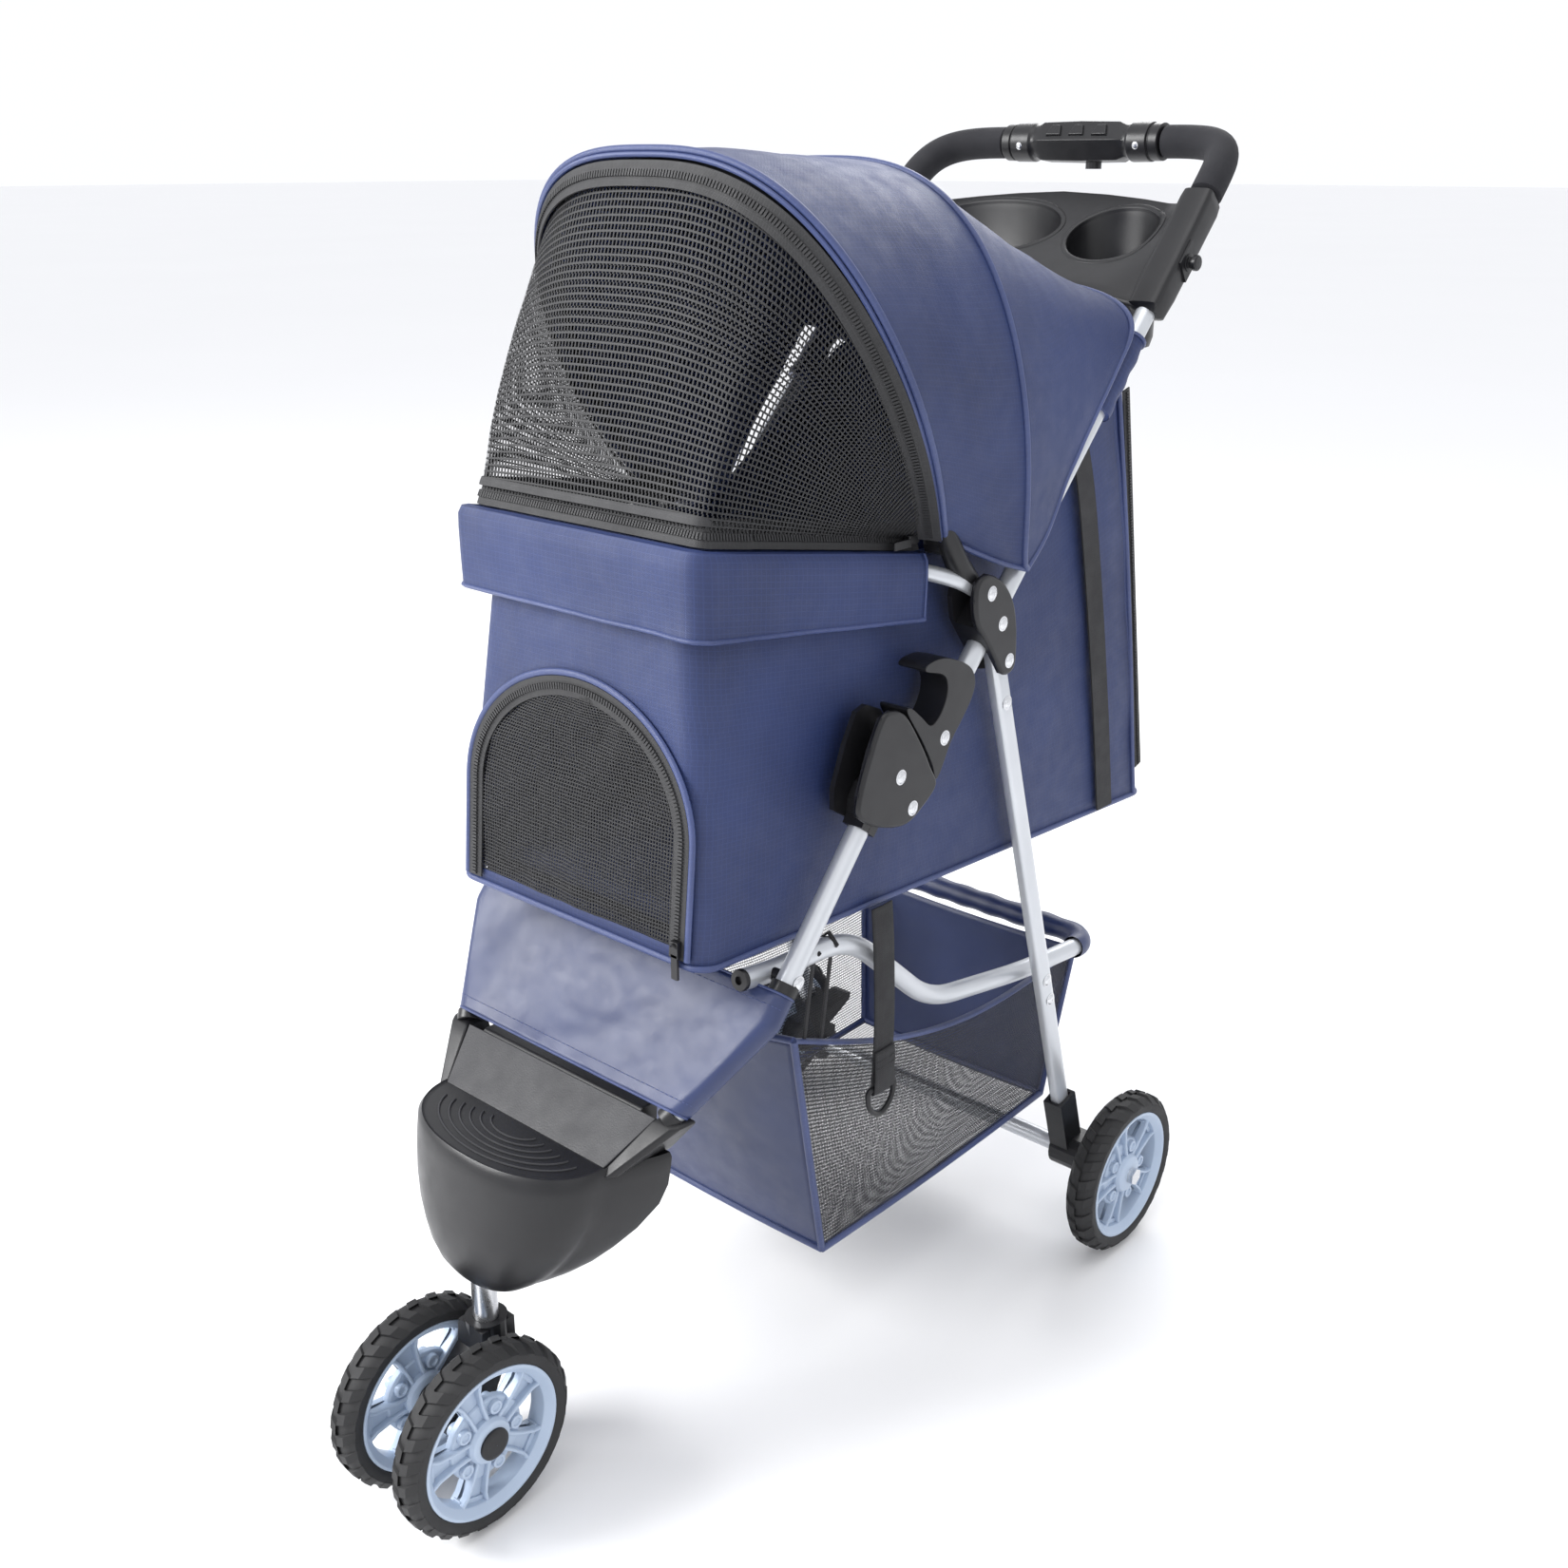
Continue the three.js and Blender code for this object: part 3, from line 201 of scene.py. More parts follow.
class Nodes:
    """A short way to write a material's node tree."""

    def __init__(self, name):
        self.material = bpy.data.materials.new(name)
        self.material.use_nodes = True
        self.tree = self.material.node_tree
        self.shader = self.tree.nodes["Principled BSDF"]

    def put(self, kind, **settings):
        node = self.tree.nodes.new(kind)
        for key, value in settings.items():
            setattr(node, key, value)
        return node

    def link(self, source, target):
        self.tree.links.new(source, target)

    def math(self, operation, a, b=0.0):
        node = self.put("ShaderNodeMath", operation=operation)
        for socket, value in zip(node.inputs, (a, b)):
            if isinstance(value, (int, float)):
                socket.default_value = value
            else:
                self.link(value, socket)
        return node.outputs[0]

    def noise(self, scale, detail=4.0, source="Object"):
        where = self.put("ShaderNodeTexCoord")
        node = self.put("ShaderNodeTexNoise")
        node.inputs["Scale"].default_value = scale
        node.inputs["Detail"].default_value = detail
        self.link(where.outputs[source], node.inputs["Vector"])
        return node.outputs["Fac"]

    def mix(self, factor, a, b):
        node = self.put("ShaderNodeMix", data_type="RGBA")
        self.link(factor, node.inputs[0])
        for socket, value in zip((node.inputs[6], node.inputs[7]), (a, b)):
            if hasattr(value, "is_linked"):
                self.link(value, socket)
            else:
                socket.default_value = (*value, 1)
        return node.outputs[2]

    def spread(self, value, low, high, out_low, out_high):
        node = self.put("ShaderNodeMapRange")
        self.link(value, node.inputs["Value"])
        for key, number in zip(("From Min", "From Max", "To Min", "To Max"),
                               (low, high, out_low, out_high)):
            node.inputs[key].default_value = number
        return node.outputs["Result"]

    def bump(self, height, strength, distance):
        node = self.put("ShaderNodeBump")
        node.inputs["Strength"].default_value = strength
        node.inputs["Distance"].default_value = distance
        self.link(height, node.inputs["Height"])
        self.link(node.outputs["Normal"], self.shader.inputs["Normal"])

    def uv_waves(self, pitch):
        """Two waves, across and along the cloth, that repeat every pitch metres."""
        where = self.put("ShaderNodeTexCoord")
        parts = self.put("ShaderNodeSeparateXYZ")
        self.link(where.outputs["UV"], parts.inputs[0])
        turns = 2 * math.pi / pitch
        return [self.math("SINE", self.math("MULTIPLY", parts.outputs[k], turns)) for k in (0, 1)]


def moulded(name, dark, light, roughness, metallic=0.0, grain=900, bump=0.12, coat=0.0):
    """Moulded plastic, rubber or paint: a mottled colour, a fine grain and uneven gloss."""
    n = Nodes(name)
    cloudy = n.noise(14, 3)
    fine = n.noise(grain, 2)
    n.link(n.mix(cloudy, dark, light), n.shader.inputs["Base Color"])
    n.link(n.spread(n.noise(55, 5), 0.3, 0.7, roughness - 0.05, roughness + 0.07),
           n.shader.inputs["Roughness"])
    n.shader.inputs["Metallic"].default_value = metallic
    n.shader.inputs["Coat Weight"].default_value = coat
    n.shader.inputs["Specular IOR Level"].default_value = 0.4
    n.bump(fine, bump, 0.0004)
    return n.material


def woven(name, dark, light, pitch, check, roughness, sheen, bump=0.35, ruled=0.30):
    """A plain weave with a faint check every few threads, soft patches of wear and a fuzz sheen."""
    n = Nodes(name)
    warp, weft = n.uv_waves(pitch)
    thread = n.math("MULTIPLY", warp, weft)
    coarse_warp, coarse_weft = n.uv_waves(check)
    line = n.math("MAXIMUM", coarse_warp, coarse_weft)
    ridge = n.spread(line, 0.86, 1.0, 0.0, 1.0)
    tone = n.math("ADD", n.math("MULTIPLY", thread, 0.10), n.math("MULTIPLY", ridge, ruled))
    patch = n.spread(n.noise(9, 5), 0.3, 0.7, 0.12, 0.5)
    n.link(n.mix(n.math("ADD", tone, patch), dark, light), n.shader.inputs["Base Color"])
    n.link(n.spread(n.noise(70, 3), 0.3, 0.7, roughness - 0.06, roughness + 0.06),
           n.shader.inputs["Roughness"])
    n.shader.inputs["Sheen Weight"].default_value = sheen
    n.shader.inputs["Sheen Roughness"].default_value = 0.4
    n.shader.inputs["Sheen Tint"].default_value = (*light, 1)
    n.bump(n.math("SUBTRACT", thread, n.math("MULTIPLY", ridge, 0.6)), bump, 0.0003)
    return n.material


def netting(name, colour, pitch, strand):
    """Open net: threads every pitch metres, clear between them."""
    n = Nodes(name)
    warp, weft = n.uv_waves(pitch)
    thread = n.math("MAXIMUM", warp, weft)
    edge = math.cos(math.pi * strand)
    cover = n.spread(thread, edge - 0.12, edge + 0.12, 0.0, 1.0)
    tint = n.mix(n.noise(120, 2), colour, [min(c * 2.2 + 0.004, 1) for c in colour])
    n.link(tint, n.shader.inputs["Base Color"])
    n.link(cover, n.shader.inputs["Alpha"])
    n.shader.inputs["Roughness"].default_value = 0.62
    n.bump(thread, 0.5, 0.0006)
    return n.material


NAVY_DARK, NAVY_LIGHT = (0.006, 0.014, 0.062), (0.026, 0.048, 0.165)
LOOKS = {
    "silver_paint": moulded("silver_paint", (0.52, 0.54, 0.57), (0.62, 0.64, 0.67), 0.34, 0.55,
                            1400, 0.05, 0.25),
    "steel": moulded("steel", (0.60, 0.61, 0.63), (0.72, 0.73, 0.75), 0.24, 0.95, 700, 0.04),
    "black_plastic": moulded("black_plastic", (0.006, 0.006, 0.007), (0.012, 0.012, 0.014), 0.36,
                             0.0, 1100, 0.16),
    "charcoal": moulded("charcoal", (0.018, 0.018, 0.021), (0.028, 0.028, 0.032), 0.46, 0.0,
                        900, 0.3),
    "rim_plastic": moulded("rim_plastic", (0.36, 0.44, 0.56), (0.44, 0.52, 0.64), 0.38, 0.1,
                           1200, 0.06),
    "tyre_rubber": moulded("tyre_rubber", (0.013, 0.013, 0.014), (0.028, 0.028, 0.029), 0.66,
                           0.0, 500, 0.3),
    "grip_foam": moulded("grip_foam", (0.010, 0.010, 0.013), (0.022, 0.022, 0.026), 0.86, 0.0,
                         1600, 0.8),
    "navy_fabric": woven("navy_fabric", NAVY_DARK, NAVY_LIGHT, 0.0011, 0.0042, 0.52, 0.10),
    "navy_satin": woven("navy_satin", (0.010, 0.018, 0.066), (0.042, 0.062, 0.165), 0.0007, 0.009,
                        0.36, 0.4, 0.15, 0.0),
    "navy_binding": woven("navy_binding", (0.016, 0.028, 0.095), (0.085, 0.115, 0.28), 0.0012,
                          0.006,
                          0.34, 0.3, 0.3, 0.1),
    "black_mesh": netting("black_mesh", (0.008, 0.008, 0.009), 0.0034, 0.30),
    "fine_mesh": netting("fine_mesh", (0.006, 0.006, 0.007), 0.0027, 0.30),
    "basket_mesh": netting("basket_mesh", (0.010, 0.010, 0.012), 0.0031, 0.20),
    "pad_fabric": woven("pad_fabric", (0.02, 0.03, 0.09), (0.06, 0.08, 0.19), 0.0014, 0.006, 0.8,
                        0.5),
    "floor_board": moulded("floor_board", (0.012, 0.012, 0.014), (0.024, 0.024, 0.028), 0.6),
    "webbing": woven("webbing", (0.006, 0.006, 0.007), (0.022, 0.022, 0.026), 0.0016, 0.0032, 0.7,
                     0.25, 0.9),
    "zip": woven("zip", (0.008, 0.008, 0.009), (0.035, 0.035, 0.038), 0.0012, 0.004, 0.55, 0.1),
}

# ---- Mesh building ------------------------------------------------------------------------------


class Build:
    """Gathers faces in mm and turns them into one object."""

    def __init__(self):
        self.verts, self.faces, self.uvs = [], [], []

    def grid(self, rows, closed=False, uv=True):
        """Quads over rows of points; closed joins each row's end to its start."""
        base, count = len(self.verts), len(rows[0])
        self.verts += [p for row in rows for p in row]
        across = count if closed else count - 1
        down = [0.0]
        for a, b in zip(rows, rows[1:]):
            down.append(down[-1] + sum((q - p).length for p, q in zip(a, b)) / count)
        for r in range(len(rows) - 1):
            run = [0.0]
            for i in range(across):
                run.append(run[-1] + (rows[r][(i + 1) % count] - rows[r][i]).length)
            for i in range(across):
                j = (i + 1) % count
                a, b = base + r * count, base + (r + 1) * count
                self.faces.append((a + i, a + j, b + j, b + i))
                u0, u1, v0, v1 = run[i] * MM, run[i + 1] * MM, down[r] * MM, down[r + 1] * MM
                self.uvs += [(u0, v0), (u1, v0), (u1, v1), (u0, v1)]

    def fan(self, ring, flip=False):
        middle = sum(ring, Vector()) / len(ring)
        base = len(self.verts)
        self.verts += [middle, *ring]
        for i in range(len(ring)):
            a, b = base + 1 + i, base + 1 + (i + 1) % len(ring)
            self.faces.append((base, b, a) if flip else (base, a, b))
            self.uvs += [(p.x * MM, p.y * MM) for p in (middle, ring[i], ring[i - 1])]

    def sweep(self, path, radius, sides=16, flat=1.0, capped=True, closed=False):
        """A round or flattened rod along a path; radius may depend on the share of the way."""
        points = [Vector(p) for p in path]
        rings, side = [], None
        for i, p in enumerate(points):
            if closed:
                ahead = points[(i + 1) % len(points)] - points[i - 1]
            else:
                ahead = points[min(i + 1, len(points) - 1)] - points[max(i - 1, 0)]
            ahead.normalize()
            if side is None:
                side = ahead.cross(Vector((0, 0, 1)))
                side = side if side.length > 0.1 else ahead.cross(Vector((0, 1, 0)))
            side = (side - ahead * side.dot(ahead)).normalized()
            up = side.cross(ahead)
            size = radius(i / (len(points) - 1)) if callable(radius) else radius
            rings.append([
                p + side * math.cos(a) * size + up * math.sin(a) * size * flat
                for a in (2 * math.pi * k / sides for k in range(sides))
            ])
        if closed:
            rings.append(rings[0])
        self.grid(rings, closed=True)
        if capped and not closed:
            self.fan(rings[0])
            self.fan(rings[-1], flip=True)

    def turned(self, profile, y, z, sides=64, capped=False):
        """A turned shape along X: profile holds (radius, x)."""
        rings = []
        for radius, x in profile:
            rings.append([
                Vector((x, y + radius * math.cos(a), z + radius * math.sin(a)))
                for a in (2 * math.pi * k / sides for k in range(sides))
            ])
        self.grid(rings, closed=True)
        if capped:
            self.fan(rings[0])
            self.fan(rings[-1], flip=True)

    def prism(self, outline, x0, x1):
        """A flat outline of (y, z), as thick as x0 to x1."""
        near = [Vector((x0, y, z)) for y, z in outline]
        far = [Vector((x1, y, z)) for y, z in outline]
        self.grid([near, far], closed=True)
        for ring in (near, far):
            base = len(self.verts)
            self.verts += ring
            self.faces.append(tuple(range(base, base + len(ring))))
            self.uvs += [(p.y * MM, p.z * MM) for p in ring]

    def block(self, centre, half, turn=None):
        """A box with its own turn, centred at a point."""
        turn = turn or Matrix.Identity(3)
        ring = [(-1, -1), (1, -1), (1, 1), (-1, 1)]
        rows = [
            [Vector(centre) + turn @ Vector((x * half[0], y * half[1], z * half[2]))
             for x, y in ring]
            for z in (-1, 1)
        ]
        self.grid(rows, closed=True)
        self.fan(rows[0])
        self.fan(rows[1], flip=True)

    def dome(self, centre, axis, radius, height, sides=20):
        """A rivet head that stands on centre, towards axis."""
        axis = Vector(axis).normalized()
        side = axis.cross(Vector((0, 0.6, 0.8))).normalized()
        up = axis.cross(side)
        rings = []
        for rim, rise in ((1, 0), (1, 0.35), (0.82, 0.75), (0.5, 0.95), (0.22, 1), (0.16, 0.8)):
            rings.append([
                Vector(centre) + axis * rise * height
                + (side * math.cos(a) + up * math.sin(a)) * radius * rim
                for a in (2 * math.pi * k / sides for k in range(sides))
            ])
        self.grid(rings, closed=True)
        self.fan(rings[-1], flip=True)
        self.fan(rings[0])

    def object(self, name, body, look, replaces=(), smooth=True, bevel=0.0, weld=True):
        mesh = bpy.data.meshes.new(name)
        mesh.from_pydata([v * MM for v in self.verts], [], self.faces)
        layer = mesh.uv_layers.new(name="cloth")
        for loop, uv in zip(layer.data, self.uvs):
            loop.uv = uv
        b = bmesh.new()
        b.from_mesh(mesh)
        if weld:
            bmesh.ops.remove_doubles(b, verts=b.verts, dist=1e-6)
        bmesh.ops.recalc_face_normals(b, faces=b.faces)
        b.to_mesh(mesh)
        b.free()
        mesh.materials.append(LOOKS[look])
        piece = bpy.data.objects.new(name, mesh)
        bpy.context.scene.collection.objects.link(piece)
        if smooth:
            smooth_by_angle(mesh)
        if bevel:
            round_edges(piece, bevel)
        if body:
            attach(piece, body)
        if replaces:
            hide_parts(*replaces)
        return piece


def smooth_by_angle(mesh, degrees=38):
    for face in mesh.polygons:
        face.use_smooth = True
    b = bmesh.new()
    b.from_mesh(mesh)
    limit = math.radians(degrees)
    for edge in b.edges:
        edge.smooth = len(edge.link_faces) != 2 or edge.calc_face_angle() < limit
    b.to_mesh(mesh)
    b.free()


def round_edges(piece, width, segments=3, degrees=32):
    bevel = piece.modifiers.new("rounded edges", "BEVEL")
    bevel.width = width * MM
    bevel.segments = segments
    bevel.limit_method = "ANGLE"
    bevel.angle_limit = math.radians(degrees)
    bevel.use_clamp_overlap = True
    normals = piece.modifiers.new("even shading", "WEIGHTED_NORMAL")
    normals.keep_sharp = False


def rod(name, path, radius, body, look, replaces=(), sides=20):
    build = Build()
    build.sweep(path, radius, sides)
    return build.object(name, body, look, replaces)


def cloth(name, rows, body, look, replaces=(), thick=1.2):
    """Sewn cloth over rows of points, cut flat as wide and long as its longest row and column."""
    build = Build()
    build.grid(rows)
    piece = build.object(name, body, look, replaces)
    skin = piece.modifiers.new("cloth thickness", "SOLIDIFY")
    skin.thickness = thick * MM
    skin.offset = 0
    return piece


def zip_line(build, path, out, width=17, teeth=True):
    """A zip along a path: a flat tape with a double row of teeth on the side that out gives."""
    rows = []
    points = [Vector(p) for p in path]
    frames = []
    for i, p in enumerate(points):
        ahead = (points[min(i + 1, len(points) - 1)] - points[max(i - 1, 0)]).normalized()
        face = Vector(out(p)).normalized()
        across = ahead.cross(face).normalized()
        frames.append((p, ahead, face, across))
    for across_by, rise in ((-1, -0.6), (-1, 0.6), (-0.22, 0.8), (0.22, 0.8), (1, 0.6), (1, -0.6)):
        rows.append([p + a * across_by * width / 2 + f * rise for p, _, f, a in frames])
    rows.append(rows[0])
    build.grid(rows)
    if teeth:
        fine = evened(points, int(sum((b - a).length for a, b in zip(points, points[1:])) / 2.6))
        for i in range(1, len(fine) - 1):
            p = fine[i]
            ahead = (fine[i + 1] - fine[i - 1]).normalized()
            face = Vector(out(p)).normalized()
            across = ahead.cross(face).normalized()
            turn = Matrix((across, ahead, face)).transposed()
            build.block(p + face * 1.3, (2.3, 0.8, 0.9), turn)


# ---- Wheels -------------------------------------------------------------------------------------


def tyre(name, body, x, axle, node):
    half = WHEEL_HALF_W
    inner = RIM_R + 0.4
    profile = [
        (inner, x - half + 2), (inner + 3, x - half + 0.4), (inner + 8, x - half + 0.6),
        (WHEEL_R - 5.2, x - half + 3.2), (WHEEL_R - 2.6, x - half + 6.6), (WHEEL_R - 2.2, x),
        (WHEEL_R - 2.6, x + half - 6.6), (WHEEL_R - 5.2, x + half - 3.2),
        (inner + 8, x + half - 0.6), (inner + 3, x + half - 0.4), (inner, x + half - 2),
        (inner, x - half + 2),
    ]
    build = Build()
    build.turned(profile, *axle, sides=96)
    # Slanted lugs run from each shoulder to the crown, the two sides staggered.
    lugs = 26
    for side in SIDES:
        for i in range(lugs):
            start = 2 * math.pi * (i + (0.5 if side > 0 else 0)) / lugs
            rows = []
            for share, radius, out in ((0, inner + 7.6, half - 0.2),
                                       (0.3, WHEEL_R - 4.2, half - 2.6),
                                       (0.62, WHEEL_R - 0.6, half - 6.4), (1, WHEEL_R - 0.1, 0.6)):
                row = []
                for turn, sunk in ((-0.072, 2.8), (-0.056, 0), (0.056, 0), (0.072, 2.8)):
                    a = start + turn + 0.11 * share
                    r = radius - sunk
                    row.append(Vector((x + side * (out - 0.3 * sunk),
                                       axle[0] + r * math.cos(a), axle[1] + r * math.sin(a))))
                rows.append(row)
            build.grid(rows)
    return build.object(name, body, "tyre_rubber", [node])


def rim(name, body, x, axle, node, rear):
    y, z = axle
    half = WHEEL_HALF_W - 1.5
    build = Build()
    build.turned([
        (RIM_R, x - half), (RIM_R, x + half), (RIM_R - 2.4, x + half + 0.2),
        (RIM_R - 4.5, x + half - 1.5), (51.5, x + half - 5), (50.5, x + 2), (50.5, x - 2),
        (51.5, x - half + 5), (RIM_R - 4.5, x - half + 1.5), (RIM_R - 2.4, x - half - 0.2),
        (RIM_R, x - half),
    ], y, z, sides=80)
    build.turned([
        (6, x - half), (12, x - half), (16.5, x - half + 2), (18.5, x - half + 5),
        (18.5, x + half - 5),
        (16.5, x + half - 2), (12, x + half), (6, x + half), (6, x - half),
    ], y, z, sides=48)
    build.turned([
        (17, x - 4), (31, x - 4), (32.5, x - 2.5), (32.5, x + 2.5), (31, x + 4), (17, x + 4),
        (17, x - 4),
    ], y, z, sides=60)
    # Five pairs of spokes, each with a raised rib, a web between them and a bolt boss at the hub.
    for i in range(5):
        turn = Matrix.Rotation(2 * math.pi * i / 5 + 0.3, 3, "X")
        for face in SIDES:
            for lean in SIDES:
                rows = []
                for r, off, thick in ((15, 5.4, 4.2), (30, 6.2, 3.4), (44, 8.4, 3.4),
                                      (52.5, 12.5, 4.6)):
                    row = []
                    for across, rise in ((-1, 1.5), (-0.9, 6.5), (-0.4, 7.8), (0.4, 7.8),
                                         (0.9, 6.5),
                                         (1, 1.5)):
                        p = Vector((face * rise, lean * off + across * thick / 2, r))
                        row.append(turn @ p + Vector((x, y, z)))
                    rows.append(row)
                build.grid(rows)
        build.block(turn @ Vector((0, 0, 34)) + Vector((x, y, z)), (2.2, 7.5, 19), turn)
        build.block(turn @ Vector((0, 0, 49.5)) + Vector((x, y, z)), (4, 13, 2.5), turn)
        between = turn @ Matrix.Rotation(math.pi / 5, 3, "X")
        for face in SIDES:
            boss = between @ Vector((face * 3, 0, 25.5)) + Vector((x, y, z))
            screw = ((0.1, 3.4), (3, 3.4), (3.3, 5), (5, 5), (5.4, 4.4), (5.6, -2))
            build.turned([(radius, boss.x + face * out) for radius, out in screw],
                         boss.y, boss.z, 20)
    piece = build.object(name, body, "rim_plastic", [node], bevel=0.7)
    cap = Build()
    for face in SIDES:
        rings = [(12.4, 0.2), (12.2, 1.6), (10.6, 2.7), (8, 3.1), (0.2, 3.3)]
        cap.turned([(r, x + face * (half + rise)) for r, rise in rings], y, z, 40)
    if not rear:
        cap.object(name + "_cap", body, "black_plastic", weld=False)
    return piece


for side in SIDES:
    tag = SIDE_NAME[side]
    for end, axle, offset in (("front", FRONT_AXLE, FRONT_WHEEL_X),
                              ("rear", REAR_AXLE, REAR_WHEEL_X)):
        body = f"{end}_wheel_{tag}"
        tyre(f"{end}_tyre_skin_{tag}", body, side * offset, axle, f"{end}_tyre_{tag}")
        rim(f"{end}_rim_skin_{tag}", body, side * offset, axle, f"{end}_rim_{tag}", end == "rear")
front_rod = Build()
front_rod.turned([(0.1, -49), (5, -49), (5, 49), (0.1, 49)], *FRONT_AXLE, 24)
front_rod.object("front_axle_rod", "fork", "steel", ["front_axle"])

# ---- Frame tubes --------------------------------------------------------------------------------

LEG_FOOT_X = 76
for side in SIDES:
    tag = SIDE_NAME[side]
    foot_x = SIDE_X - (SIDE_X - LEG_FOOT_X) * (LEG_SHOWN - 198) / 162
    leg = bent([on_leg(-9, side * SIDE_X), on_leg(198, side * SIDE_X),
                on_leg(LEG_SHOWN, side * foot_x)], 40)
    rod(f"front_leg_tube_{tag}", leg, TUBE_R, "frame", "silver_paint", [f"front_leg_{tag}"], 28)



def handle_half(side):
    """The handle tube from its foot up to the bar, with one long bend."""
    a, b = Vector(on_handle(568, side * SIDE_X)), Vector(on_handle(617, side * SIDE_X))
    c, d = Vector((side * 143, BAR_Y, BAR_Z)), Vector((side * 86, BAR_Y, BAR_Z))
    bend = [a * (1 - t) ** 3 + b * 3 * t * (1 - t) ** 2 + c * 3 * t * t * (1 - t) + d * t**3
            for t in (k / 24 for k in range(25))]
    return [Vector(on_handle(-6, side * SIDE_X))] + bend


handle_path = handle_half(1) + handle_half(-1)[::-1]
rod("handle_loop", handle_path, TUBE_R, "handle", "silver_paint", ["handle_tube"], 28)

LINK_SIDE = [(-178, 407.5), (-150, 403), (-62, 398), (44, 303), (180, 277), (300, 264)]
link_path = bent([(LINK_X, y, z) for y, z in LINK_SIDE]
                 + [(-LINK_X, y, z) for y, z in reversed(LINK_SIDE)], 34)
rod("link_loop", link_path, TUBE_R, "link", "silver_paint", ["link_tube"], 24)

HOOP_SIDE = [(SIDE_X, 60, 643.5), (SIDE_X, 34, 657), (129.5, 7, 667), (120, -120, 686),
             (113, -199, 699)]
hoop_path = bent(HOOP_SIDE + [(-x, y, z) for x, y, z in reversed(HOOP_SIDE)], 36)
rod("rim_hoop", hoop_path, 6, "cabin", "silver_paint", ["hoop"], 20)

rear_axle_tube = [(-142.2, *REAR_AXLE), (142.2, *REAR_AXLE)]
rod("rear_cross_tube", rear_axle_tube, TUBE_R, "rear_frame", "silver_paint", ["axle_tube"], 28)
rod("fork_post", [(0, STEM_Y, 117), (0, STEM_Y, 244)], 9.5, "fork", "steel", ["fork_stem"], 28)

REAR_LEAN = math.atan2(REAR_AXLE[0] - LEG_PIVOT[0], LEG_PIVOT[1] - REAR_AXLE[1])


def on_rear_leg(run, x=0.0, depth=0.0):
    """A point run below the leg pivot, depth behind the leg's line."""
    s, c = math.sin(REAR_LEAN), math.cos(REAR_LEAN)
    return Vector((x, LEG_PIVOT[0] + s * run + c * depth, LEG_PIVOT[1] - c * run + s * depth))


def rear_leg(side):
    build, tag = Build(), SIDE_NAME[side]
    rows = []
    for run in (-8, -7.2, 60, 160, 260, 360, 460, 507.2, 508):
        inset = 0.6 if run in (-8, 508) else 0
        ring = []
        for k in range(32):
            a = 2 * math.pi * k / 32
            x = math.copysign(abs(math.cos(a)) ** 0.62, math.cos(a)) * (6 - inset)
            d = math.copysign(abs(math.sin(a)) ** 0.62, math.sin(a)) * (8.5 - inset)
            ring.append(on_rear_leg(run, side * SIDE_X + x, d))
        rows.append(ring)
    build.grid(rows, closed=True)
    build.fan(rows[0])
    build.fan(rows[-1], flip=True)
    build.object(f"rear_leg_bar_{tag}", "rear_frame", "silver_paint", [f"rear_leg_{tag}"])


for side in SIDES:
    rear_leg(side)

# ---- Rivets, pins, plugs and screws -------------------------------------------------------------

RIVET_R = 4.6


def rivets(name, body, look, spots, replaces=()):
    """Rivet heads at (x, y, z) that face away from the middle plane."""
    build = Build()
    for x, y, z, face in spots:
        build.dome((x, y, z), (face, 0, 0), RIVET_R, 2.3)
        build.dome((x, y, z), (face, 0, 0), RIVET_R + 1.2, 0.7)
    return build.object(name, body, look, replaces)


for side in SIDES:
    tag = SIDE_NAME[side]
    outer = lambda reach, place, s=side: (s * (SIDE_X + reach), *place, s)
    inner = lambda reach, place, s=side: (s * (SIDE_X - reach), *place, -s)
    rivets(f"knuckle_rivets_{tag}", "handle", "steel", [
        f(reach, place) for f, reach in ((outer, 14.8), (inner, 13.2))
        for place in (FOLD_PIVOT, HANDLE_FOOT)
    ], [f"fold_pin_{tag}"])
    rivets(f"block_rivets_{tag}", "handle", "steel", [
        f(reach, place) for f, reach in ((outer, 13.8), (inner, 12.2))
        for place in (LEG_PIVOT, (73, 619), HOOP_PIVOT)
    ], [f"leg_pin_{tag}"])
    rivets(f"latch_rivets_{tag}", f"latch_{tag}", "steel", [outer(12.4, (6, 546))])
    rivets(f"link_rivets_{tag}", "frame", "steel", [outer(8, LINK_PIVOT)], [f"link_pin_{tag}"])
    leg_spots = [on_rear_leg(r)[1:] for r in (40, 348)]
    rivets(f"rear_leg_rivets_{tag}", "rear_frame", "steel",
           [outer(6, s) for s in (*leg_spots, LOOP_PIVOT)] + [inner(6, LOOP_PIVOT)])
    spacer = Build()
    spacer.turned([(0.1, side * (LINK_X + 6)), (5, side * (LINK_X + 6)), (5, side * (SIDE_X - 6)),
                   (0.1, side * (SIDE_X - 6))], *LINK_PIVOT, 24)
    spacer.object(f"link_spacer_{tag}", "frame", "black_plastic")

    plug = Build()
    tip = Vector((side * LINK_X, LINK_SIDE[0][0] - 0.4, LINK_SIDE[0][1]))
    out = Vector((0, -28, 4.5)).normalized()
    up = out.cross(Vector((1, 0, 0)))
    rings = []
    for r, reach in ((8.1, 0), (8.1, 2), (7.4, 3.2), (3.2, 3.6), (3.0, 0.6), (0.1, 0.6)):
        rings.append([tip + out * reach + (Vector((1, 0, 0)) * math.cos(a) + up * math.sin(a)) * r
                      for a in (math.pi * k / 12 for k in range(24))])
    plug.grid(rings, closed=True)
    plug.object(f"link_end_plug_{tag}", "link", "black_plastic", [f"link_plug_{tag}"])

# ---- Moulded hinge pieces ------------------------------------------------------------------------

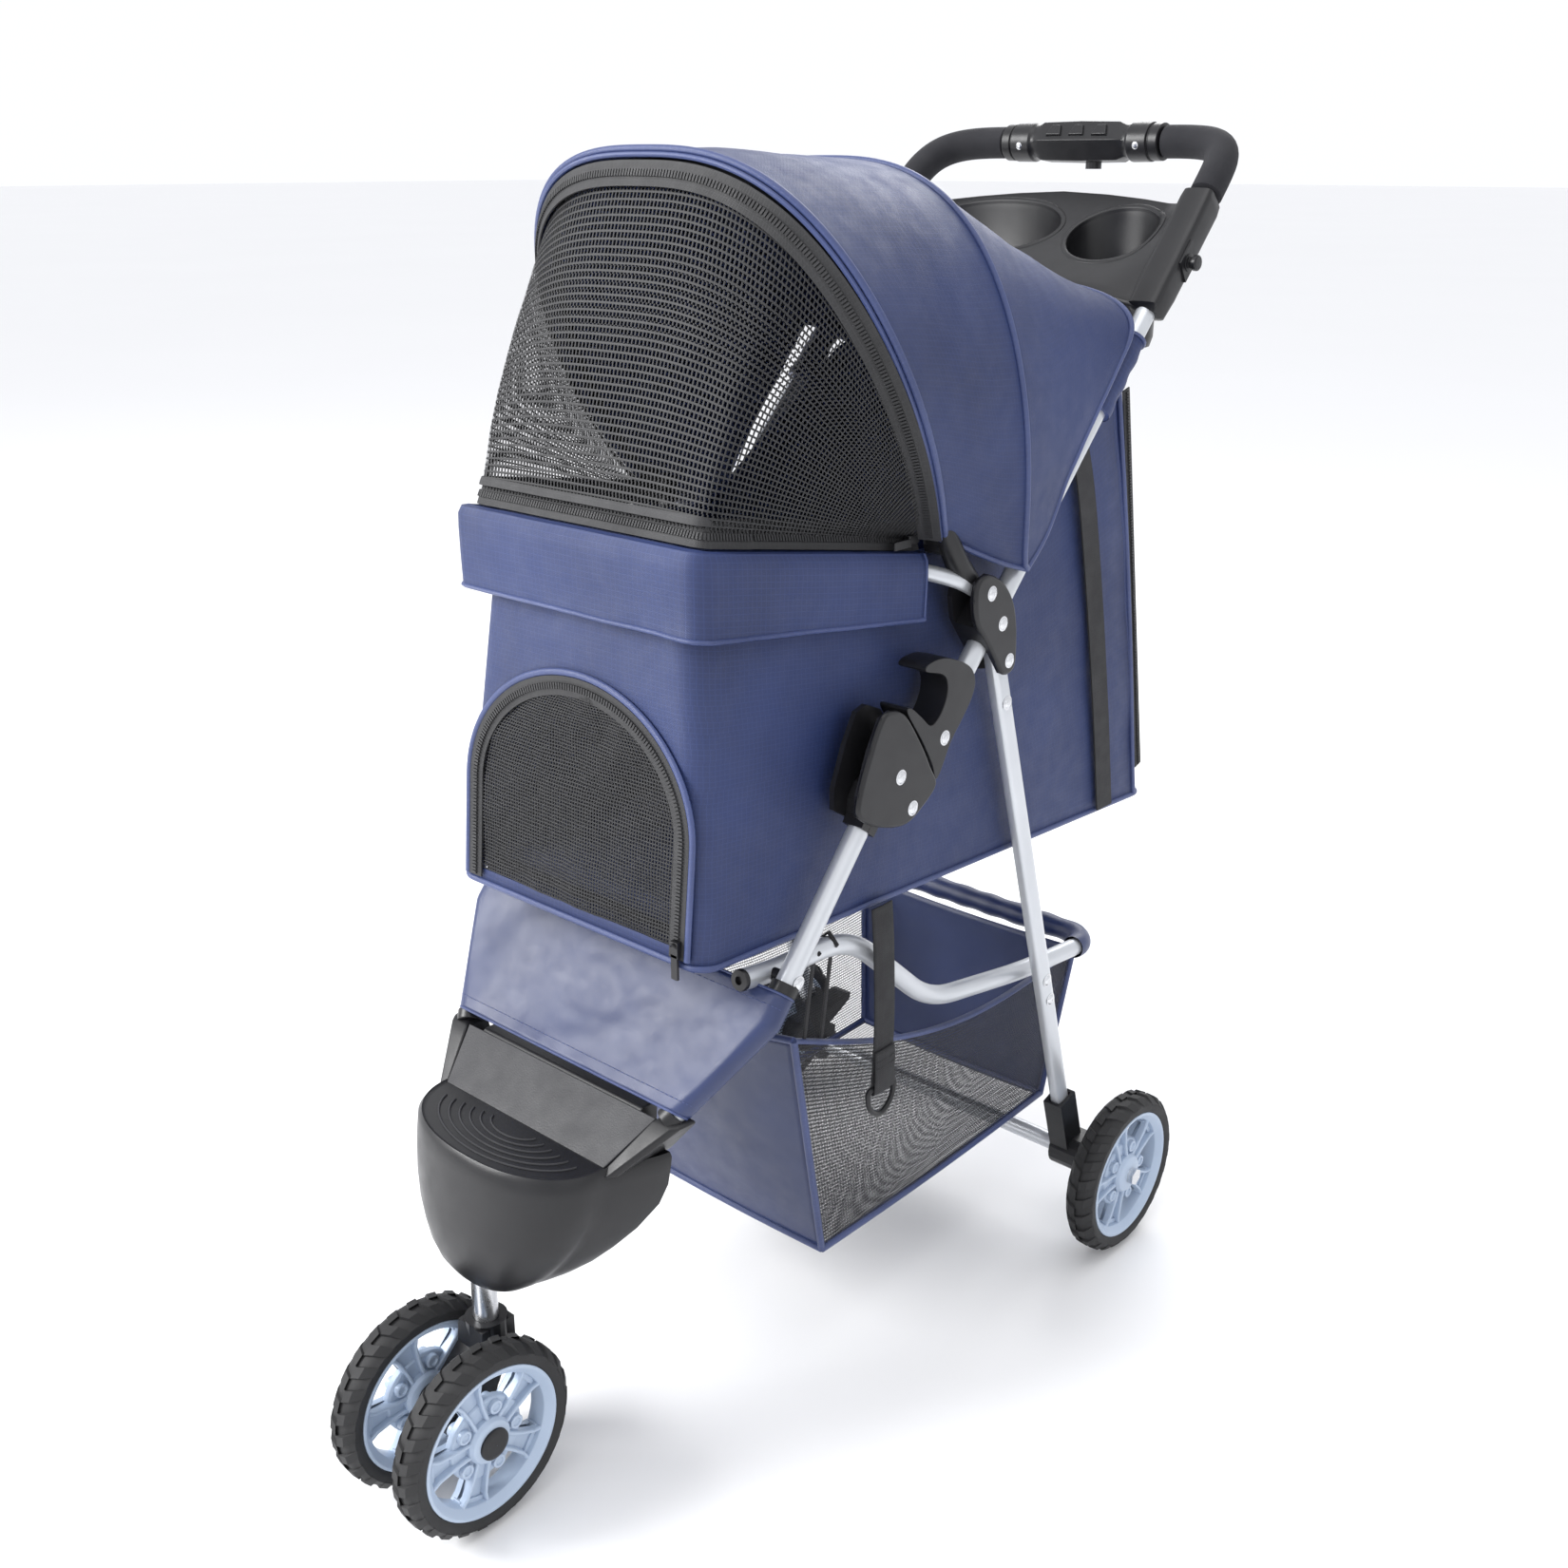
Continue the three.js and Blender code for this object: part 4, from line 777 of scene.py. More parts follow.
KNUCKLE = [(-60, 583), (-71, 580), (-83, 559), (-95, 529), (-95, 513), (-76, 501), (-57, 494),
           (-39, 492), (-22, 499), (-5, 513), (-13, 530), (-26, 552), (-44, 576)]
BLOCK = [(40, 656), (53, 660), (72, 651), (86, 635), (92, 617), (94, 596), (93, 583), (86, 577),
         (76, 579), (66, 592), (57, 604), (48, 615), (40, 626), (37, 643)]
LATCH = [(-2, 516), (14, 541), (27, 555), (39, 570), (42, 582), (36, 593), (20, 602), (0, 608),
         (-17, 607), (-19, 602), (0, 596), (7, 588), (6, 576), (-2, 564), (-12, 560), (-23, 569),
         (-36, 579), (-40, 576), (-22, 551), (-9, 530)]
for side in SIDES:
    tag = SIDE_NAME[side]
    cover = Build()
    cover.prism(smooth_outline(KNUCKLE), side * (SIDE_X + 9.4), side * (SIDE_X + 15))
    cover.object(f"knuckle_cover_{tag}", "handle", "black_plastic", bevel=3.2)
    cover = Build()
    cover.prism(smooth_outline(BLOCK), side * (SIDE_X + 8.4), side * (SIDE_X + 14))
    cover.object(f"block_cover_{tag}", "handle", "black_plastic", bevel=3.0)
    hook = Build()
    hook.prism(smooth_outline(LATCH, 4), side * (SIDE_X - 12.6), side * (SIDE_X + 12.6))
    hook.object(f"latch_hook_{tag}", f"latch_{tag}", "black_plastic", [f"latch_{tag}"], bevel=3.4)
    arm = Build()
    arm.sweep(smooth_path([(side * 147, 14, 706), (side * 148, 21, 692), (side * 149, 33, 672),
                           (side * 148, 48, 654)], 20), lambda t: 8.4 + 3.0 * t, 24, 0.8)
    arm.object(f"bow_arm_{tag}", "cabin", "black_plastic")

# ---- Handle grips -------------------------------------------------------------------------------

loop = [Vector(p) for p in handle_path]
for side in SIDES:
    near = [p for p in loop[1:-1] if p.x * side > 0]
    near = near if side > 0 else near[::-1]
    bend = [p for p in near if p.z > on_handle(FOAM_START)[2]]
    path = [Vector(on_handle(FOAM_START, side * SIDE_X))] + bend
    path.append(Vector((side * (GRIP_HALF + 0.5), BAR_Y, BAR_Z)))
    path = evened(path, 60)
    build = Build()
    build.sweep(path,
                lambda t: 13.5 - 3.0 * max(0, 1 - t * 60) ** 2 - 2.2 * max(0, t * 60 - 59) ** 2,
                28)
    foam = build.object(f"foam_sleeve_{SIDE_NAME[side]}", "handle", "grip_foam",
                        [f"foam_grip_{SIDE_NAME[side]}"])


def centre_grip():
    """Two screwed collars, a waist at each side and a six-sided middle with raised wedges."""
    build = Build()
    rings = []
    for x, radius, facets in (
        (-79, 13.2, 0), (-78.4, 15.4, 0), (-70.5, 15.5, 0), (-70, 14.2, 0), (-68.4, 14.2, 0),
        (-68, 16.2, 0), (-50, 16.4, 0), (-48, 15, 0), (-44, 15, 0.3), (-38, 18.2, 1), (0, 19, 1),
        (38, 18.2, 1), (44, 15, 0.3), (48, 15, 0), (50, 16.4, 0), (68, 16.2, 0), (68.4, 14.2, 0),
        (70, 14.2, 0), (70.5, 15.5, 0), (78.4, 15.4, 0), (79, 13.2, 0), (79, 8.2, 0),
    ):
        ring = []
        for k in range(48):
            a = 2 * math.pi * k / 48
            corner = math.cos(math.pi / 6) / math.cos((a % (math.pi / 3)) - math.pi / 6)
            r = radius * (1 - facets + facets * corner)
            ring.append(Vector((x, BAR_Y + r * math.cos(a - 0.1), BAR_Z + r * math.sin(a - 0.1))))
        rings.append(ring)
    build.grid(rings, closed=True)
    build.object("grip_body", "handle", "black_plastic", ["centre_grip"], bevel=0.5)
    wedges = Build()
    for i in (-1, 0, 1):
        for turn in (0.95,):
            spin = Matrix.Rotation(turn, 3, "X")
            low = [(i * 23 - 9, -6), (i * 23 + 9, -6), (i * 23 + 5, 6), (i * 23 - 5, 6)]
            foot = [spin @ Vector((x, y, 14)) + Vector((0, BAR_Y, BAR_Z)) for x, y in low]
            crown = [spin @ Vector((i * 23 + (x - i * 23) * 0.78, y * 0.78, 18.3))
                     + Vector((0, BAR_Y, BAR_Z)) for x, y in low]
            wedges.grid([foot, crown], closed=True)
            wedges.fan(crown, flip=True)
    wedges.object("grip_wedges", "handle", "black_plastic", bevel=0.6)
    screws = Build()
    for x in (-59, 59):
        for turn in (1.75,):
            out = Matrix.Rotation(turn, 3, "X") @ Vector((0, 0, 1))
            screws.dome(Vector((x, BAR_Y, BAR_Z)) + out * 15.6, out, 3.2, 1.4, 16)
    screws.object("grip_screws", "handle", "steel")


centre_grip()

# ---- Tray ---------------------------------------------------------------------------------------

CUP = (82, 334, 40, 32, 796)
BIN = (-48, 338, 74, 34, 812)


def mirrored(pairs):
    """A smooth even function of x through (x, value) pairs."""
    return height_line([(-x, v) for x, v in reversed(pairs[1:])] + pairs)


def tray():
    """A moulded tray with two plumb wells, flatter in the middle than its two arms."""
    front_y = mirrored([(0, 270), (84, 270), (112, 268), (136, 268), (164, 270)])
    front_z = mirrored([(0, 846), (84, 845), (112, 843), (136, 838), (164, 834)])
    rear_y = mirrored([(0, 386), (46, 384), (84, 379), (112, 373), (136, 352), (164, 346)])
    rear_z = mirrored([(0, 917), (46, 915), (84, 912), (112, 909), (136, 910), (164, 911)])

    def top(x, y, lift=0.0):
        share = (y - front_y(x)) / (rear_y(x) - front_y(x))
        return Vector((x, y, front_z(x) + share * (rear_z(x) - front_z(x)) + lift))

    rows = []
    for i in range(65):
        x = -160 + 320 * i / 64
        near, far = front_y(x), rear_y(x)
        inner = [near + (far - near) * k / 12 for k in range(1, 12)]
        ring = [(near + 1, -4), (near, -3), (near, -1), (near + 1.2, 0.5)]
        ring += [(y, 0.8) for y in inner]
        ring += [(far - 1.2, 0.5), (far, -1), (far, -3), (far - 1, -4)]
        ring += [(y, -4) for y in reversed(inner)]
        rows.append([top(x, y, lift) for y, lift in ring])
    build = Build()
    build.grid(rows, closed=True)
    for ring in (rows[0], rows[-1]):
        base = len(build.verts)
        build.verts += ring
        build.faces.append(tuple(range(base, base + len(ring))))
        build.uvs += [(p.y * MM, p.z * MM) for p in ring]
    plate = build.object("tray_plate", None, "black_plastic", smooth=False)
    cutter, bowls, lips = Build(), Build(), Build()
    for x, y, rx, ry, floor_z in (CUP, BIN):
        def loop(z, inset, x=x, y=y, rx=rx, ry=ry):
            return [Vector((x + (rx - inset) * math.cos(a), y + (ry - inset) * math.sin(a), z))
                    for a in (2 * math.pi * k / 64 for k in range(64))]

        def lip(inset, lift):
            return [top(p.x, p.y, lift) for p in loop(0, inset)]
        low, high = loop(700, 0.2), loop(1000, 0.2)
        cutter.grid([low, high], closed=True)
        cutter.fan(low)
        cutter.fan(high, flip=True)
        inside = [lip(0, 0.6), lip(0.6, -6), loop(floor_z + 8, 1.6), loop(floor_z + 2, 4),
                  loop(floor_z, 9), loop(floor_z, 22)]
        outside = [loop(floor_z - 2.5, 20), loop(floor_z - 2.5, 8), loop(floor_z, 1.6),
                   loop(floor_z + 8, -0.8), lip(-1.6, -4)]
        bowls.grid(inside, closed=True)
        bowls.fan(inside[-1])
        bowls.grid(outside, closed=True)
        bowls.fan(outside[0])
        lips.grid([lip(0.2, -1), lip(-0.2, 1.4), lip(-1.2, 2), lip(-2.6, 2), lip(-3.8, 1.4),
                   lip(-4.4, -0.5)],
                  closed=True)
    tool = cutter.object("tray_cutter", None, "black_plastic", smooth=False)
    hole = plate.modifiers.new("wells", "BOOLEAN")
    hole.operation, hole.solver, hole.object = "DIFFERENCE", "EXACT", tool
    bpy.context.view_layer.update()
    ready = plate.evaluated_get(bpy.context.evaluated_depsgraph_get())
    finished = bpy.data.meshes.new_from_object(ready)
    plate.modifiers.clear()
    plate.data = finished
    bpy.data.objects.remove(tool)
    smooth_by_angle(plate.data)
    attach(plate, "handle")
    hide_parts("tray")
    bowls.object("tray_wells", "handle", "black_plastic")
    lips.object("tray_well_rims", "handle", "black_plastic")
    arms = Build()
    for side in SIDES:
        rows = []
        for run, low, high, tuck in ((448, -9, 10, 3), (451, -12, 12.5, 0.6), (470, -13, 13, 0),
                                     (530, -13, 13.5, 0),
                                     (556, -13, 14.5, 0), (563, -12, 15, 0.6), (566, -10, 13.5, 3)):
            row = []
            for k in range(28):
                a = 2 * math.pi * k / 28
                cx = math.copysign(abs(math.cos(a)) ** 0.4, math.cos(a)) * (14 - tuck)
                cz = math.copysign(abs(math.sin(a)) ** 0.4, math.sin(a))
                lift = (high - tuck) * cz if cz > 0 else (-low - tuck) * cz
                row.append(Vector(on_handle(run, side * (SIDE_X - 0.5) + cx, lift)))
            rows.append(row)
        arms.grid(rows, closed=True)
        arms.fan(rows[0])
        arms.fan(rows[-1], flip=True)
        boss = [(488, -9), (492, 9), (516, 9), (510, -9)]
        arms.prism([on_handle(run, 0, lift)[1:] for run, lift in boss],
                   side * (SIDE_X + 12.6), side * (SIDE_X + 15))
    arms.object("tray_arms", "handle", "black_plastic")


tray()

knobs, screws = Build(), Build()
for side in SIDES:
    x = side * (SIDE_X + 14.5)
    _, y, z = on_handle(501, lift=-1)
    knobs.turned([(0.1, x), (7, x), (7, x + side * 1.2), (4.5, x + side * 1.6),
                  (4.5, x + side * 4.5), (6.2, x + side * 5), (6.2, x + side * 8),
                  (5, x + side * 9), (0.1, x + side * 9.3)], y, z, 24)
    _, y, z = on_handle(405)
    screws.dome((side * (SIDE_X + 7.6), y, z), (side, 0, 0), 5.4, 3.4)
knobs.object("tray_knobs", "handle", "black_plastic", bevel=0.3)
screws.object("tube_snap_buttons", "handle", "steel")

# ---- Footrest -----------------------------------------------------------------------------------


def footrest():
    """A deep rounded skirt under a half-round step, with a riser between two side rails."""
    front_half = height_line([(174, 30), (186, 48), (200, 63), (220, 77), (245, 88), (284, 93)])
    rear_half = height_line([(174, 36), (186, 56), (200, 74), (220, 92), (245, 104), (284, 112)])
    front_line = height_line([(174, -332), (186, -340), (200, -343), (220, -343), (245, -340),
                              (284, -334)])
    build, outline = Build(), []
    for z, tuck in ((174, 8), (175.5, 3), (180, 0), (188, 0), (198, 0), (210, 0), (224, 0),
                    (240, 0),
                    (256, 0), (270, 0), (281, 0.6), (STEP_Z + 0.4, 3)):
        half, wide = front_half(z) - tuck, rear_half(z) - tuck
        front, back = front_line(z) + tuck, min(-300 + (z - 174) * 84 / 88, -232)
        deep = min(half * 0.62, (back - front) * 0.8)
        near = [Vector((wide + (half - wide) * (k / 8) ** 1.3,
                        back + (front + deep - back) * k / 8, z)) for k in range(8)]
        arc = [Vector((half * math.copysign(abs(math.cos(a)) ** 0.9, math.cos(a)),
                       front + deep - deep * math.sin(a) ** 0.9, z))
               for a in (math.pi * k / 36 for k in range(37))]
        outline.append(near + arc + [Vector((-p.x, p.y, p.z)) for p in reversed(near)])
    build.grid(outline, closed=True)
    build.fan(outline[0])
    step = [outline[-1]]
    for share in (0.975, 0.955):
        step.append([Vector((p.x * share, -262 + (p.y + 262) * share, STEP_Z - 0.8))
                     for p in outline[-1]])
    build.grid(step, closed=True)
    build.fan(step[-1])
    build.object("footrest_shell", "frame", "black_plastic", ["footrest"])
    rails = Build()
    for side in SIDES:
        rows = []
        for t in (0, 0.25, 0.5, 0.75, 0.94, 1):
            front, z = -280 + 39 * t, 279 + 35 * t
            inner, outer = 86 + 18 * t, 98 + 29 * min(t, 0.94)
            soft = 3 if t == 1 else 0
            rows.append([Vector((side * x, y, z)) for x, y in (
                (inner + soft, front + soft), (outer - 5, front + soft), (outer - soft, front + 6),
                (outer + 2 - soft, -222 - soft), (inner + soft, -222 - soft))])
        rails.grid(rows, closed=True)
        rails.fan(rows[0])
        rails.fan(rows[-1])
    rails.prism([(-226, 262), (-222, 314), (-237, 314), (-276, 282), (-278, 266)], -88, 88)
    rails.object("footrest_rails", "frame", "black_plastic", bevel=1.4)
    riser, rows = Build(), []
    for t in (0, 1):
        half, y, z = 87.5 + 16 * t, -276.5 + 37 * t, 283.5 + 29.5 * t
        rows.append([Vector((x, y + dy, z + dz)) for x, dy, dz in (
            (-half, 0, 0), (half, 0, 0), (half, 2, -2.4), (-half, 2, -2.4))])
    riser.grid(rows, closed=True)
    riser.fan(rows[0])
    riser.fan(rows[1])
    riser.object("footrest_riser", "frame", "charcoal", bevel=0.8)
    grooves = Build()
    for i in range(6):
        wide = 24 + i * 10
        arc = [Vector((wide * math.cos(a), -281 - 0.56 * wide * math.sin(a), STEP_Z - 0.6))
               for a in (math.radians(10 + 160 * k / 40) for k in range(41))]
        grooves.sweep(arc, 0.9, 8)
    grooves.object("footrest_grooves", "frame", "charcoal")


footrest()

# ---- Cloth panels between the legs --------------------------------------------------------------


def crease(p, size, scale):
    """A soft wrinkle that depends only on the place."""
    return size * noise.fractal(Vector(p) * scale, 0.8, 2.0, 3)


def leg_panel():
    """Satin stretched between the front legs, wrapped round each of them."""
    rows = []
    for i in range(33):
        run = 176 + (281 - 176) * i / 32
        half = SIDE_X - (SIDE_X - LEG_FOOT_X) * max(run - 198, 0) / 162
        row = []
        for k in range(14):
            a = math.radians(-250 + 250 * k / 14 + 90)
            _, y, z = on_leg(run, 0, 9.4 * math.sin(a))
            row.append(Vector((half + 9.4 * math.cos(a), y, z)))
        for k in range(49):
            u = 1 - 2 * k / 48
            sag = 3.2 * (1 - u * u) * math.sin(math.pi * i / 32)
            pull = 2.4 * math.sin(9 * u + run * 0.06) * math.exp(-((abs(u) - 0.8) / 0.25) ** 2)
            fold = crease((u * 90, run, 3), 2.2, 0.02) * (1 - u**4)
            row.append(Vector((u * half, *on_leg(run, 0, 9.4 - sag + pull * 0.5 + fold)[1:])))
        row += [Vector((-p.x, p.y, p.z)) for p in reversed(row[:14])]
        rows.append(row)
    panel = cloth("leg_panel", rows, "frame", "navy_satin",
                  ["front_panel"], 1.0)
    hems = Build()
    for i, inward in ((0, 1), (32, -1)):
        hems.sweep([p + Vector((0, 0, 0.4)) for p in rows[i]], 1.0, 8)
        stitch = rows[i + inward * 3]
        for a, b in zip(stitch[::1], stitch[1::1]):
            lift = Vector((0, -math.sin(LEG_SLOPE), math.cos(LEG_SLOPE))) * 0.7
            hems.sweep([a.lerp(b, 0.2) + lift, a.lerp(b, 0.8) + lift], 0.35, 5)
    hems.object("leg_panel_hems", "frame", "navy_binding")
    clips = Build()
    for side in SIDES:
        for run, half in ((171, SIDE_X), (284, SIDE_X - (SIDE_X - LEG_FOOT_X) * 86 / 162)):
            a, b = (Vector(on_leg(run + d, side * (half - d * 0.5 * (run > 200)))) for d in (-4, 4))
            clips.sweep([a, b], 10.4, 20)
    clips.object("leg_panel_clips", "frame", "black_plastic", bevel=0.6)
    return panel


leg_panel()

# ---- Cabin --------------------------------------------------------------------------------------

cabin_floor = height_line([(-217, 428), (350, 402)])
cabin_rim = height_line([(-190, 711), (24, 676), (66, 676), (268, 795)])
LOW = dict(half_front=130, half_rear=141, front=-217, rear=350, corner=16)
HIGH = dict(half_front=104, half_rear=141, front=-190, rear=268, corner=24)
DOOR_HALF, DOOR_TOP, DOOR_SPRING, DOOR_FOOT = 109, 600, 510, 438


def front_face(x, z, out=0.0):
    """A point on the cabin's leaning front wall."""
    return Vector((x, -217 + 27 * (z - 428) / 283 - out, z))


def door_arch(grow=0.0, steps=40, foot=DOOR_FOOT):
    """The door's arch from foot to foot, as (x, z)."""
    half, top = DOOR_HALF + grow, DOOR_TOP + grow
    arch = [(half * math.cos(a), DOOR_SPRING + (top - DOOR_SPRING) * math.sin(a))
            for a in (math.pi * k / steps for k in range(steps + 1))]
    legs = [(half, foot + (DOOR_SPRING - foot) * k / 8) for k in range(8)]
    return legs + arch + [(-x, z) for x, z in reversed(legs)]


def cabin_tub():
    low = plan_ring(height_at=cabin_floor, arc=8, run=20, **LOW)
    high = plan_ring(height_at=cabin_rim, arc=8, run=20, **HIGH)
    rows = []
    for i in range(31):
        t = i / 30
        row = []
        for a, b in zip(low, high):
            p = a.lerp(b, t)
            swell = 2.6 * math.sin(math.pi * t)
            soft = crease((p.x, p.y, p.z), 2.0, 0.012) * math.sin(math.pi * t)
            out = Vector((p.x / 140, 0.25 if p.y > 200 else 0, 0))
            if p.y < -180:
                out = Vector((0, 0, 0))
            row.append(p + out * (swell + soft))
        rows.append(row + [row[0]])
    build = Build()
    build.grid(rows)
    tub = build.object("cabin_cloth", None, "navy_fabric", weld=False)
    skin = tub.modifiers.new("cloth thickness", "SOLIDIFY")
    skin.thickness, skin.offset = 1.6 * MM, 0
    cutter = Build()
    arch = door_arch()
    near = [Vector((x, -260, z)) for x, z in arch]
    far = [Vector((x, -150, z)) for x, z in arch]
    cutter.grid([near, far], closed=True)
    cutter.fan(near)
    cutter.fan(far, flip=True)
    tool = cutter.object("door_cutter", None, "navy_fabric", smooth=False)
    hole = tub.modifiers.new("doorway", "BOOLEAN")
    hole.operation, hole.solver, hole.object = "DIFFERENCE", "EXACT", tool
    bpy.context.view_layer.update()
    ready = tub.evaluated_get(bpy.context.evaluated_depsgraph_get())
    cut_mesh = bpy.data.meshes.new_from_object(ready)
    tub.modifiers.clear()
    tub.data = cut_mesh
    bpy.data.objects.remove(tool)
    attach(tub, "cabin")
    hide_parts("cabin")
    return high


high_ring = cabin_tub()


def cabin_bottom():
    rows = []
    for i in range(25):
        t = i / 24
        row = []
        for k in range(17):
            y = -211 + 560 * t
            half = (130 + 11 * t) * (1 - 0.16 * max(0, abs(2 * t - 1) - 0.94) / 0.06)
            u = 2 * k / 16 - 1
            row.append(Vector((u * (half - 1), y, cabin_floor(y) + 1.2)))
        rows.append(row)
    cloth("cabin_underside", rows, "cabin", "navy_fabric")


cabin_bottom()


def pad():
    build = Build()
    rings = []
    for rise, inset in ((8.2, 5), (8, 2), (10, 0.4), (15, 0), (20, 0.8), (23, 4), (24, 9),
                        (24.4, 30),
                        (24.2, 60), (24, 100)):
        ring = plan_ring(118 - inset, 122 - inset, -190 + inset, 320 - inset, max(16 - inset, 6),
                         lambda y, r=rise: cabin_floor(y) + r)
        rings.append([p + Vector((0, 0, crease(p, 1.4, 0.02) if rise > 20 else 0)) for p in ring])
    build.grid(rings, closed=True)
    build.fan(rings[0])
    build.fan(rings[-1], flip=True)
    piece = build.object("cabin_pad", "cabin", "pad_fabric", ["pad"])


pad()


def binding(build, points, radius=2.0, flat=0.75, closed=False):
    """A folded binding strip, swept as a flattened rod along the points."""
    build.sweep(points, radius, 10, flat, closed=closed)


collar_top = height_line([(-206, 713), (4, 680)])
collar_hem = height_line([(-206, 658), (4, 634)])


def front_part(ring, limit):
    """The part of a plan ring in front of limit, from the left side round to the right."""
    left = sorted((p for p in ring if p.x > 0 and p.y <= limit and p.y > -180), key=lambda p: -p.y)
    right = sorted((p for p in ring if p.x < 0 and p.y <= limit and p.y > -180), key=lambda p: p.y)
    nose = sorted((p for p in ring if p.y <= -180), key=lambda p: -p.x)
    return left + nose + right


def collar():
    ring = plan_ring(124, 148, -207, 130, 15, lambda y: 0, arc=10, run=26)
    path = evened(front_part(ring, 10), 120)
    section = [(-7, -16), (-7, -4), (-6, 4), (-2.5, 8), (1.5, 7.5), (4, 3), (4.6, -6), (4.2, -18),
               (3.6, -30)]
    rows = []
    for i, p in enumerate(path):
        ahead = (path[min(i + 1, 120)] - path[max(i - 1, 0)]).normalized()
        out = Vector((-ahead.y, ahead.x, 0)) * -1
        if out.dot(Vector((p.x, p.y + 60, 0))) < 0:
            out = -out
        top, hem = collar_top(p.y) - 9, collar_hem(p.y) - 3
        row = []
        for k, (o, r) in enumerate(section):
            share = k / (len(section) - 1)
            z = top + r if k < 7 else top + r - (top - 30 - hem) * (k - 6) / 2 * 0.9
            wave = crease((p.x, p.y, z), 1.6, 0.02) * share
            row.append(Vector((p.x, p.y, z)) + out * (o + wave - 4))
        row.append(Vector((p.x, p.y, hem)) + out * (0.2 + crease((p.x, p.y, hem), 1.6, 0.02)))
        rows.append(row)
    piece = cloth("rim_collar", rows, "cabin", "navy_fabric", ["collar"], 2.6)
    hem = Build()
    binding(hem, [r[-1] for r in rows], 2.4)
    for ends in (rows[0], rows[-1]):
        binding(hem, ends[4:], 2.0)
    hem.object("rim_collar_binding", "cabin", "navy_binding")
    return rows


collar_rows = collar()


def door():
    rows = []
    for i in range(41):
        z = DOOR_FOOT + 1 + (DOOR_TOP - 2 - DOOR_FOOT - 1) * (1 - (1 - i / 40) ** 1.6)
        half = DOOR_HALF - 2
        if z > DOOR_SPRING:
            half *= math.sqrt(max(1 - ((z - DOOR_SPRING) / (DOOR_TOP - DOOR_SPRING)) ** 2, 0.0004))
        rows.append([front_face(half * (2 * k / 40 - 1), z, 1.5 + 1.6 * math.sin(math.pi * k / 40)
                                + crease((half * (2 * k / 40 - 1), z, 9), 1.6, 0.03))
                     for k in range(41)])
    cloth("door_net", rows, "front_door", "fine_mesh", ["front_door"], 0.8)
    out = lambda p: (0, -1, 0.08)
    teeth = Build()
    arch = [front_face(x, z, 3.0) for x, z in door_arch(-1, 60, DOOR_FOOT - 6)]
    zip_line(teeth, evened(arch, 110), out, 14)
    teeth.object("door_zip", "front_door", "zip")
    trim = Build()
    edge = [front_face(x, z, 2.6) for x, z in door_arch(8.5, 60, DOOR_FOOT - 6)]
    binding(trim, evened(edge, 110), 2.6)
    trim.object("door_binding", "cabin", "navy_binding")
    pull = Build()
    foot = front_face(DOOR_HALF, DOOR_FOOT + 2, 5)
    pull.block(foot, (3.6, 2.6, 6))
    pull.block(foot + Vector((0, -1.5, -13)), (3, 1.1, 9.5))
    pull.sweep([foot + Vector((-3, -2.2, 2)), foot + Vector((0, -4.2, 5)),
                foot + Vector((3, -2.2, 2))],
               0.8, 8)
    pull.object("door_zip_pull", "front_door", "black_plastic", bevel=0.7)


door()


def cabin_trim():
    trim = Build()
    low = plan_ring(height_at=lambda y: cabin_floor(y) - 1, arc=8, run=20, **LOW)
    trim.sweep([p * 1.0 for p in low], 2.6, 10, closed=True)
    # Binding up the two rear corners and over the rear wall's upper edge.
    for side in SIDES:
        low_end = Vector((side * 141.5, 334, cabin_floor(334)))
        high_end = Vector((side * 141.5, 256, 786))
        trim.sweep([low_end.lerp(high_end, k / 30)
                    + Vector((side * 2.6 * math.sin(math.pi * k / 30), 0, 0))
                    for k in range(31)], 2.2, 10)
    back = [p for p in high_ring if p.y > 24]
    back = sorted((p for p in back if p.x >= 0), key=lambda p: (p.y, -p.x)) \
        + sorted((p for p in back if p.x < 0), key=lambda p: (-p.y, -p.x))
    trim.sweep(evened(back, 90), 2.2, 10)
    trim.object("cabin_binding", "cabin", "navy_binding")
    side_zip = Build()
    for side in SIDES:
        line = [Vector((side * 143, 352 - 16, 430)), Vector((side * 143, 268, 770))]
        zip_line(side_zip, evened(line, 40), lambda p, s=side: (s, 0.12, 0), 12)
    side_zip.object("cabin_corner_zips", "cabin", "zip")
    webs = Build()
    for side in SIDES:
        centre = smooth_path([(side * 145.5, 196, 742), (side * 146, 214, 690),
                              (side * 146.5, 236, 600), (side * 146.4, 258, 500),
                              (side * 144.5, 279, 406)], 40)
        rows = [[p + Vector((side * rise, w, 0)) for p in centre]
                for w, rise in ((-12, -0.6), (-12, 0.6), (12, 0.6), (12, -0.6), (-12, -0.6))]
        webs.grid(rows)
    webs.object("cabin_side_webbing", "cabin", "webbing")


cabin_trim()

# ---- Canopy -------------------------------------------------------------------------------------

ARCH_POWER = 2.8
STATIONS = [
    ((150, 19, 690), 181, (-125, 950), 0.85),
    ((156, 48, 676), 182, (-62, 952), 0.8),
    ((162, 76, 664), 183, (0, 949), 0.65),
    ((166.5, 100, 656), 182, (60, 943), 0.5),
    ((166.5, 124, 678), 176, (118, 919), 0.8),
    ((166, 150, 716), 172, (168, 896), 1.0),
    ((165, 184, 756), 168, (214, 874), 1.0),
    ((164, 226, 806), 165, (258, 852), 1.0),
]
SEAM = 3


